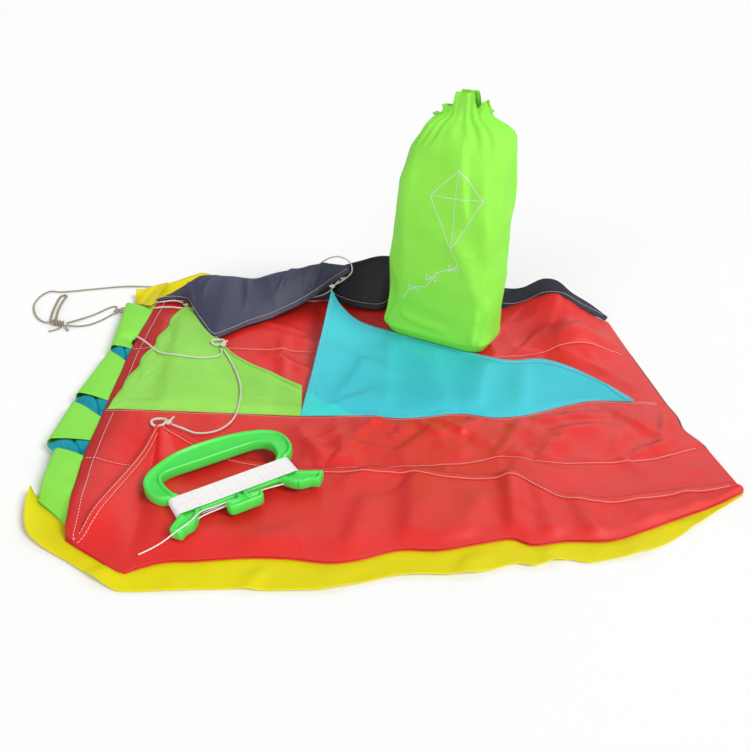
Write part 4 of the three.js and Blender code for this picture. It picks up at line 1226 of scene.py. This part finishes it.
def moulding(outline, hole, profile):
    """A flat moulding, the same on both faces: points at fixed distances inside the outline, joined by
    triangles, at the half thickness that the profile gives for each distance, and a wall round the edges.
    The bar under the winding is thinner."""
    loops = [outline, hole]
    rim = np.vstack(loops)
    fine = np.vstack([rounded(WINDER_OUTLINE, FINE_STEP), rounded(FINGER_HOLE, FINE_STEP)])
    flat, depth = [rim], [np.zeros(len(rim))]
    for distance in profile[1:, 0]:
        for loop in loops:
            ahead = unit(np.roll(loop, -1, axis=0) - np.roll(loop, 1, axis=0))
            for way in (1, -1):
                moved = loop + way * distance * np.stack([-ahead[:, 1], ahead[:, 0]], -1)
                moved = moved[inside(moved, loops)]
                moved = moved[nearest(moved, fine) > distance - 0.04]
                flat.append(moved)
                depth.append(np.full(len(moved), distance))
    flat, depth = np.vstack(flat), np.concatenate(depth)
    rings = np.split(np.arange(len(rim)), [len(outline)])
    edges = [(int(a), int(b)) for r in rings for a, b in zip(r, np.roll(r, -1))]
    spots, _, triangles, origin, _, _ = delaunay_2d_cdt([tuple(p) for p in flat], edges, [], 0, 1e-5)
    spots = np.array([tuple(p) for p in spots])
    level = np.interp(np.array([depth[o[0]] if o else 0 for o in origin]), profile[:, 0], profile[:, 1])
    bar = ease(47.5, 44.5, np.abs(spots[:, 0])) * ease(23, 19, spots[:, 1]) * ease(-1.5, 0.5, spots[:, 1])
    level = level * (1 - (1 - BAR_SHARE) * bar)
    triangles = np.array(triangles)
    triangles = triangles[inside(spots[triangles].mean(1), loops)]
    top = np.column_stack([spots, HALF_THICK + level])
    low = np.column_stack([spots, HALF_THICK - level])
    number = {o[0]: n for n, o in enumerate(origin) if o}
    walls = []
    for r in rings:
        a = np.array([number[int(i)] for i in r])
        b = np.roll(a, -1)
        walls.append(np.stack([a, a + len(spots), b + len(spots), b], -1))
    faces = triangles.tolist() + (triangles[:, ::-1] + len(spots)).tolist() + np.vstack(walls).tolist()
    return np.vstack([top, low]), faces


RIM = np.array([  # distance from the edge, half thickness
    (0, 3.2), (0.35, 3.85), (0.8, 4.3), (1.3, 4.5), (2.1, 4.5), (2.4, 4.3), (2.8, 3.1), (3.2, 2.7),
    (4.2, 2.6),
])
points, faces = moulding(rounded(WINDER_OUTLINE, OUTLINE_STEP), rounded(FINGER_HOLE, OUTLINE_STEP), RIM)
glossy_green, tree, shader, _ = finish("glossy green plastic", (0.07, 0.74, 0.085), 0.3, shine=0.5)
spot = tree.nodes.new("ShaderNodeTexCoord").outputs["Object"]
tinted(tree, shader, clouds(tree, spot, 70, 2), (0.06, 0.66, 0.075), (0.08, 0.8, 0.1))
roughened(tree, shader, clouds(tree, spot, 260, 4), 0.24, 0.42)
bumped(tree, shader, sums(tree, "MULTIPLY", clouds(tree, spot, 900, 2), 0.00003))
places = np.zeros((sum(len(f) for f in faces), 2))
winder = new_piece("winder", winder_place(points), faces, places, glossy_green)
fitted(winder, "winder", "winder_plastic", "winder")


# Flying line: white twisted line wound lengthwise round the bar over a core of lower layers. Two short
# strands run in front of the bar behind the lip of the cleat, and the line's end hangs from the near horn
# down on to the cloth.
LINE, PITCH, TURNS = 0.98, 0.93, 20
BAR_THIN, CORE = 2.3, 0.5  # half thickness of the bar, and of the core on it
TURN_POINTS, LINE_SIDES, CORE_ROWS = 28, 6, 40
TAIL_LINE = 0.99
line_white = cord_finish("white flying line", (0.76, 0.74, 0.72), (0.88, 0.87, 0.86), 0.0007, 0.00003)


def wound(turns, out, bend):
    """Path of a line wound lengthwise round the bar, with its outward normals: a rectangle with round
    corners in the plane of the bar, stepping across the bar by the pitch at every turn."""
    long, high = BAR_HALF + 0.4 + out - bend, BAR_THIN + 0.4 + out - bend
    corner = TURN_POINTS // 4
    turn = np.radians(np.concatenate([q * 90 + np.linspace(4, 86, corner) for q in range(4)]))
    cx = np.repeat(long * np.array([1, -1, -1, 1]), corner)
    cz = np.repeat(high * np.array([1, 1, -1, -1]), corner)
    done = np.arange(turns)[:, None] + np.arange(TURN_POINTS) / TURN_POINTS
    drift = 0.12 * np.sin(done * 2.3) * np.sin(done * 0.7)
    normal = np.stack([np.cos(turn), 0 * turn, np.sin(turn)], -1)
    path = np.tile(np.stack([cx, 0 * cx, cz], -1) + bend * normal, (turns, 1, 1))
    path[..., 1] = (BAR_WIDTH - PITCH * turns) / 2 + PITCH * done + drift
    path[..., 2] += HALF_THICK
    return path.reshape(-1, 3), np.tile(normal, (turns, 1))


def turned(faces, places):
    """The same four-cornered faces seen from their other side, with the places of their corners."""
    return faces[:, ::-1].tolist(), places[:, ::-1].reshape(-1, 2)


path, normal = wound(TURNS, CORE + 0.6, 3.0)
turn = np.arange(LINE_SIDES) * np.pi / 3
ring = normal[:, None] * np.cos(turn)[:, None] + np.array([0, 1.0, 0]) * np.sin(turn)[:, None]
rings = winder_place(path[:, None] + ring * LINE / 2)
faces, row, column = net(len(path), LINE_SIDES, ring=True)
faces, places = turned(faces, np.stack([row * 0.0075, column * 0.0005], -1))
fitted(new_piece("line_winding", rings, faces, places, line_white), "winder", "flying_line", "line_winding")

path, normal = wound(1, CORE - 0.5, 2.2)
across = np.linspace(0.06, 0.94, CORE_ROWS) * BAR_WIDTH
crown = 0.5 * np.sin(np.pi * across / BAR_WIDTH)
points = path + normal * crown[:, None, None]
points[..., 1] = across[:, None] + 0.1 * np.sin(np.arange(TURN_POINTS))
faces, row, column = net(CORE_ROWS, TURN_POINTS, ring=True)
places = np.stack([row * 0.0005, column * 0.008], -1).reshape(-1, 2)
core = new_piece("line_core", winder_place(points), faces.tolist(), places, line_white)
fitted(core, "winder", "flying_line", "line_core")

CAUGHT = [
    (32, -3.5, 3.6), (20, -3, 4.6), (8, -2.6, 5.6), (-8, -2.6, 5.8), (-22, -3.2, 6.4), (-30, -5.2, 8.6),
    (-35, -8.2, 9.9), (-41, -12, 9.8),
]
SECOND = [(-9, -4.6, 4.4), (-20, -5, 4.6), (-31, -6.5, 5.2), (-36, -8, 5)]
for name, spots in (("line_caught_strand", CAUGHT), ("line_second_strand", SECOND)):
    strand = winder_place(smooth_line(spots, 120))
    fitted(cord_piece(name, strand, LINE, line_white, sides=8), "winder", "flying_line")

TAIL = [
    (-124.4, -186, 18.9), (-128.5, -191.5, 18.9), (-134, -196, 17), (-141, -199, 12.5), (-149, -201.5, 8.5),
    (-157, -205, 6.4),
]
tail = even(smooth_line(TAIL, 160), 0.8)
piece = cord_piece("line_tail", tail, TAIL_LINE, line_white, sides=8)
fitted(piece, "winder", "flying_line", "line_tail")
declare_cord(tail)


# Bag: thin lime green cloth, sewn as a flat-bottomed sack and well filled out, so that it stands. Its top
# is gathered by a drawcord in a narrow neck, and the mouth stands up above it in a ruffle.
BAG_PLACE, BAG_TURN = (72.5, 110.5, 5.2), math.radians(-30)
BAG_WIDE, BAG_DEEP, BAG_HIGH, BAG_LEAN, NECK = 122, 68, 231, 0.025, 214
BAG_LIME = (0.31, 0.89, 0.08)
BAG_LEVELS = [
    (0, 0.84, 0.78, 6), (0.035, 0.92, 0.93, 5), (0.042, 0.935, 0.95, 4.8), (0.12, 0.93, 0.95, 3.6),
    (0.3, 0.96, 0.98, 3), (0.5, 0.96, 0.98, 2.8), (0.68, 0.92, 0.95, 2.7), (0.79, 0.85, 0.87, 2.6),
    (0.86, 0.73, 0.72, 2.4), (0.905, 0.55, 0.5, 2.2), (0.925, 0.43, 0.34, 2), (0.94, 0.37, 0.27, 2),
    (0.97, 0.36, 0.22, 2), (1.0, 0.36, 0.2, 2),
]
BAG_SWAY = [(0, -3.0), (60, -2.4), (105, -0.8), (155, 2.5), (182, 5.5), (198, 7), (214, 3), (240, 2)]
BAG_FOLDS = [  # their places are degrees round from the middle of the near face, and heights
    ((4, 196), (16, 138), 3.2, 4, 10), ((-40, 180), (-24, 70), 2.4, 9, 13), ((40, 40), (28, 8), 2.6, 6, 5),
    ((54, 46), (42, 6), 2.2, 4, 5), ((-50, 40), (-60, 4), 2.0, 6, 6), ((10, 110), (36, 60), 1.8, 10, 8),
    ((-20, 26), (2, 20), 2.0, 5, 4), ((30, 170), (44, 110), 1.8, 8, 10),
]
BAG_FLAT, BAG_CLOTH, BAG_COLUMNS = (0.32, 0.28), 0.4, 244
bag_nylon = cloth_finish("lime bag cloth", BAG_LIME, deep=0.84, sheen=0.15, crush=0.0012)


def bag_place(points):
    """Points given across the bag, through it and up, turned, swayed a little to the right as it rises, and
    set down where the bag stands."""
    c, s = math.cos(BAG_TURN), math.sin(BAG_TURN)
    x, y, z = points[..., 0], points[..., 1], points[..., 2]
    x = x + BAG_LEAN * z
    sway = smooth_line(BAG_SWAY, 200)
    sway = np.interp(z, sway[:, 0], sway[:, 1])
    return np.stack([BAG_PLACE[0] + sway + c * x - s * y, BAG_PLACE[1] + s * x + c * y, BAG_PLACE[2] + z], -1)


def bag_wall(level, turn):
    """Place on the bag: at each level a rounded oblong, thinner at its right end and drawn in to the neck,
    with gathers that deepen to it, a ruffle above it that stands highest in the middle, creases and dents."""
    shape = smooth_line(BAG_LEVELS, 600)
    wide, deep, power = (np.interp(level, shape[:, 0], shape[:, k]) for k in (1, 2, 3))
    c, s = np.cos(turn), np.sin(turn)
    gather = ease(0.76, 0.93, level) ** 2
    pleats = np.cos(23 * turn + 1.3 * np.sin(3 * turn)) * (0.6 + 0.4 * np.sin(5 * turn + 1))
    ruffle = ease(0.94, 1, level) * (0.07 * np.cos(9 * turn + 0.6) + 0.04 * np.cos(17 * turn + 1))
    reach = 1 + 0.09 * gather * pleats + ruffle
    x = np.sign(c) * np.abs(c) ** (2 / power) * BAG_WIDE / 2 * wide * reach
    y = np.sign(s) * np.abs(s) ** (2 / power) * BAG_DEEP / 2 * deep * reach
    slack = 0.085 * ease(0.2, 0.6, level) * ease(0.93, 0.82, level)
    slack = slack - 0.06 * np.exp(-(((level - 0.9) / 0.03) ** 2))
    x = np.where(x > 0, x * (1 - slack), x)
    taper = 0.65 * ease(0, 1, 2 * x / BAG_WIDE) * ease(0.97, 0.8, level)
    y = np.where(y > 0, y * (1 - taper), y)
    girth, high = turn * 52, level * BAG_HIGH
    front = turn * 180 / np.pi - 270
    soft = ease(0.02, 0.07, level) * ease(0.93, 0.82, level)
    push = all_folds(front, high, BAG_FOLDS)
    push = push + 1.6 * ripple(girth, high, 46, 91) + 0.6 * ripple(girth, high, 19, 92)
    push = push + 1.1 * (1 - np.abs(ripple(girth, high, 60, 93))) ** 4
    push = push * soft
    size = np.maximum(np.hypot(x, y), 1e-6)
    crown = 0.3 + 0.85 * ease(12, 8, np.abs(x)) + 0.45 * np.exp(-(((x - 17.5) / 3.5) ** 2))
    high = np.where(level > 0.94, BAG_HIGH * (0.94 + (level - 0.94) * 1.1 * crown), high)
    return np.stack([x * (1 + push / size), y * (1 + push / size), high], -1)


levels = np.concatenate([np.linspace(0, 0.06, 18), np.linspace(0.07, 0.7, 90), np.linspace(0.705, 1, 76)])
turns = np.linspace(0, 2 * np.pi, BAG_COLUMNS, endpoint=False)
wall = bag_wall(*np.meshgrid(levels, turns, indexing="ij"))
shrink = np.linspace(0.03, 0.97, 18)[:, None, None]
bottom = wall[0] * shrink
bottom[..., 2] = 0.6 * (1 - shrink[..., 0] ** 2)
points = np.concatenate([bottom, wall])
faces, row, column = net(len(points), BAG_COLUMNS, ring=True)
faces, places = turned(faces, np.stack([column / BAG_COLUMNS * BAG_FLAT[0], row * 0.0014], -1))
places = np.vstack([np.zeros((BAG_COLUMNS, 2)), places])
bag = new_piece("bag", bag_place(points), [list(range(BAG_COLUMNS))] + faces, places, bag_nylon)
skin = bag.modifiers.new("cloth", "SOLIDIFY")
skin.thickness = BAG_CLOTH * 0.001
skin.offset = -1
fitted(bag, "bag", "bag_cloth", "bag")


# Drawing on the bag: a plain diamond kite with a bowed tail in pale ink, printed on the near face as thin
# lines that lie on the cloth.
INK_WIDE, INK_CLEAR, INK_STEP = 0.9, 0.25, 1.2
TOP, RIGHT, FOOT, LEFT = (10, 176), (36, 152), (14, 104), (-14, 150)
BOWS = [(19, 86), (-2, 73), (-20, 58)]
pale_ink = cloth_finish("pale ink", (0.62, 0.86, 0.55), deep=0.85, crush=0.0002)


def on_bag(across, up):
    """Place on the near face of the bag at distances across it and up: the turn that gives the distance
    across is read off the wall at that level."""
    sweep = np.linspace(np.pi, 2 * np.pi, 240)
    level = np.asarray(up) / BAG_HIGH
    turn = [np.interp(a, bag_wall(np.full(240, b), sweep)[:, 0], sweep) for a, b in zip(across, level)]
    return bag_wall(level, np.array(turn))


def ink_line(stops):
    """A narrow strip of ink along a line on the bag, just clear of the cloth."""
    line = np.array(stops, float)
    run = distances(line)
    a, b = along_line(line, run, np.linspace(0, run[-1], max(4, int(run[-1] / INK_STEP)))).T
    p = on_bag(a, b)
    out = unit(np.cross(on_bag(a + 1, b) - on_bag(a - 1, b), on_bag(a, b + 1) - on_bag(a, b - 1)))
    side = unit(np.cross(out, np.gradient(p, axis=0))) * INK_WIDE / 2
    return bag_place(np.stack([p + INK_CLEAR * out - side, p + INK_CLEAR * out + side], 1))


tail_line = smooth_line([FOOT, (22, 90), (2, 78), (-6, 64), (-22, 58), (-32, 44)], 40)
DRAWING = [[TOP, RIGHT, FOOT, LEFT, TOP], [TOP, FOOT], [RIGHT, LEFT], tail_line]
for x, z in BOWS:
    DRAWING.append([(x - 5, z + 3), (x + 5, z - 3), (x + 5, z + 3), (x - 5, z - 3), (x - 5, z + 3)])
points, faces, places, done = [], [], [], 0
for stops in DRAWING:
    strip = ink_line(stops)
    one, row, column = net(len(strip), 2)
    faces += (one + done).tolist()
    places.append(np.stack([row * 0.0012, column * 0.0009], -1).reshape(-1, 2))
    points.append(strip.reshape(-1, 3))
    done += len(points[-1])
drawing = new_piece("bag_drawing", np.concatenate(points), faces, np.concatenate(places), pale_ink)
fitted(drawing, "bag", "bag_cloth")


# Drawcord: a green braided cord that runs round the neck in the casing of the bag and gathers it, tied in
# a knot at its left end.
NECK_WIDE, NECK_DEEP, DRAWCORD, DRAW_KNOT = 19.5, 7.6, 1.8, 4.6
green_cord = cord_finish("green drawcord", (0.12, 0.5, 0.03), (0.26, 0.78, 0.08), 0.0012, 0.0001)
turn = np.linspace(0, 2 * np.pi, 90, endpoint=False)
neck = np.stack([NECK_WIDE * np.cos(turn), NECK_DEEP * np.sin(turn), NECK + 2 + 0.5 * np.cos(3 * turn)], -1)
drawcord = cord_piece("drawcord", bag_place(neck), DRAWCORD, green_cord, loop=True)
drawcord.data.flip_normals()
lump = knot_path(bag_place(np.array([-27.0, -4, NECK])), DRAW_KNOT)
knot = cord_piece("drawcord_knot", lump, KNOT_CORD, green_cord, sides=8, loop=True)
fitted(drawcord, "bag", "drawcord", "drawcord")
fitted(knot, "bag", "drawcord", "drawcord_knot")


# Floor and light: a plain white table, a broad soft lamp high on the right, the soft glow of a pale wall
# from the near left and of a window on the far side, and even light all round.
FLOOR_HALF, FLOOR_LEVEL, ROOM_LIGHT = 40, -0.0003, 0.33
floor = bpy.data.objects.new("floor", bpy.data.meshes.new("floor"))
corners = [(x * FLOOR_HALF, y * FLOOR_HALF, FLOOR_LEVEL) for x, y in ((-1, -1), (1, -1), (1, 1), (-1, 1))]
floor.data.from_pydata(corners, [], [(0, 1, 2, 3)])
floor.data.materials.append(finish("white table", (0.96, 0.96, 0.96), 0.9, shine=0.05)[0])
scene.collection.objects.link(floor)

for name, energy, spread, toward in (
    ("lamp", 2.05, 24, (0.62, -0.38, 0.68)), ("near_wall", 1.9, 70, (-0.35, -0.92, 0.15)),
    ("far_window", 0.65, 50, (0.3, 0.75, 0.6)),
):
    lamp = bpy.data.objects.new(name, bpy.data.lights.new(name, "SUN"))
    lamp.data.energy = energy
    lamp.data.angle = math.radians(spread)
    lamp.rotation_euler = Vector(toward).to_track_quat("Z", "Y").to_euler()
    scene.collection.objects.link(lamp)
world = bpy.data.worlds.new("room")
world.use_nodes = True
room = world.node_tree.nodes["Background"]
room.inputs["Color"].default_value = (1, 1, 1, 1)
seen = world.node_tree.nodes.new("ShaderNodeLightPath").outputs["Is Camera Ray"]
strength = sums(world.node_tree, "MAXIMUM", seen, ROOM_LIGHT)
world.node_tree.links.new(strength, room.inputs["Strength"])
scene.world = world
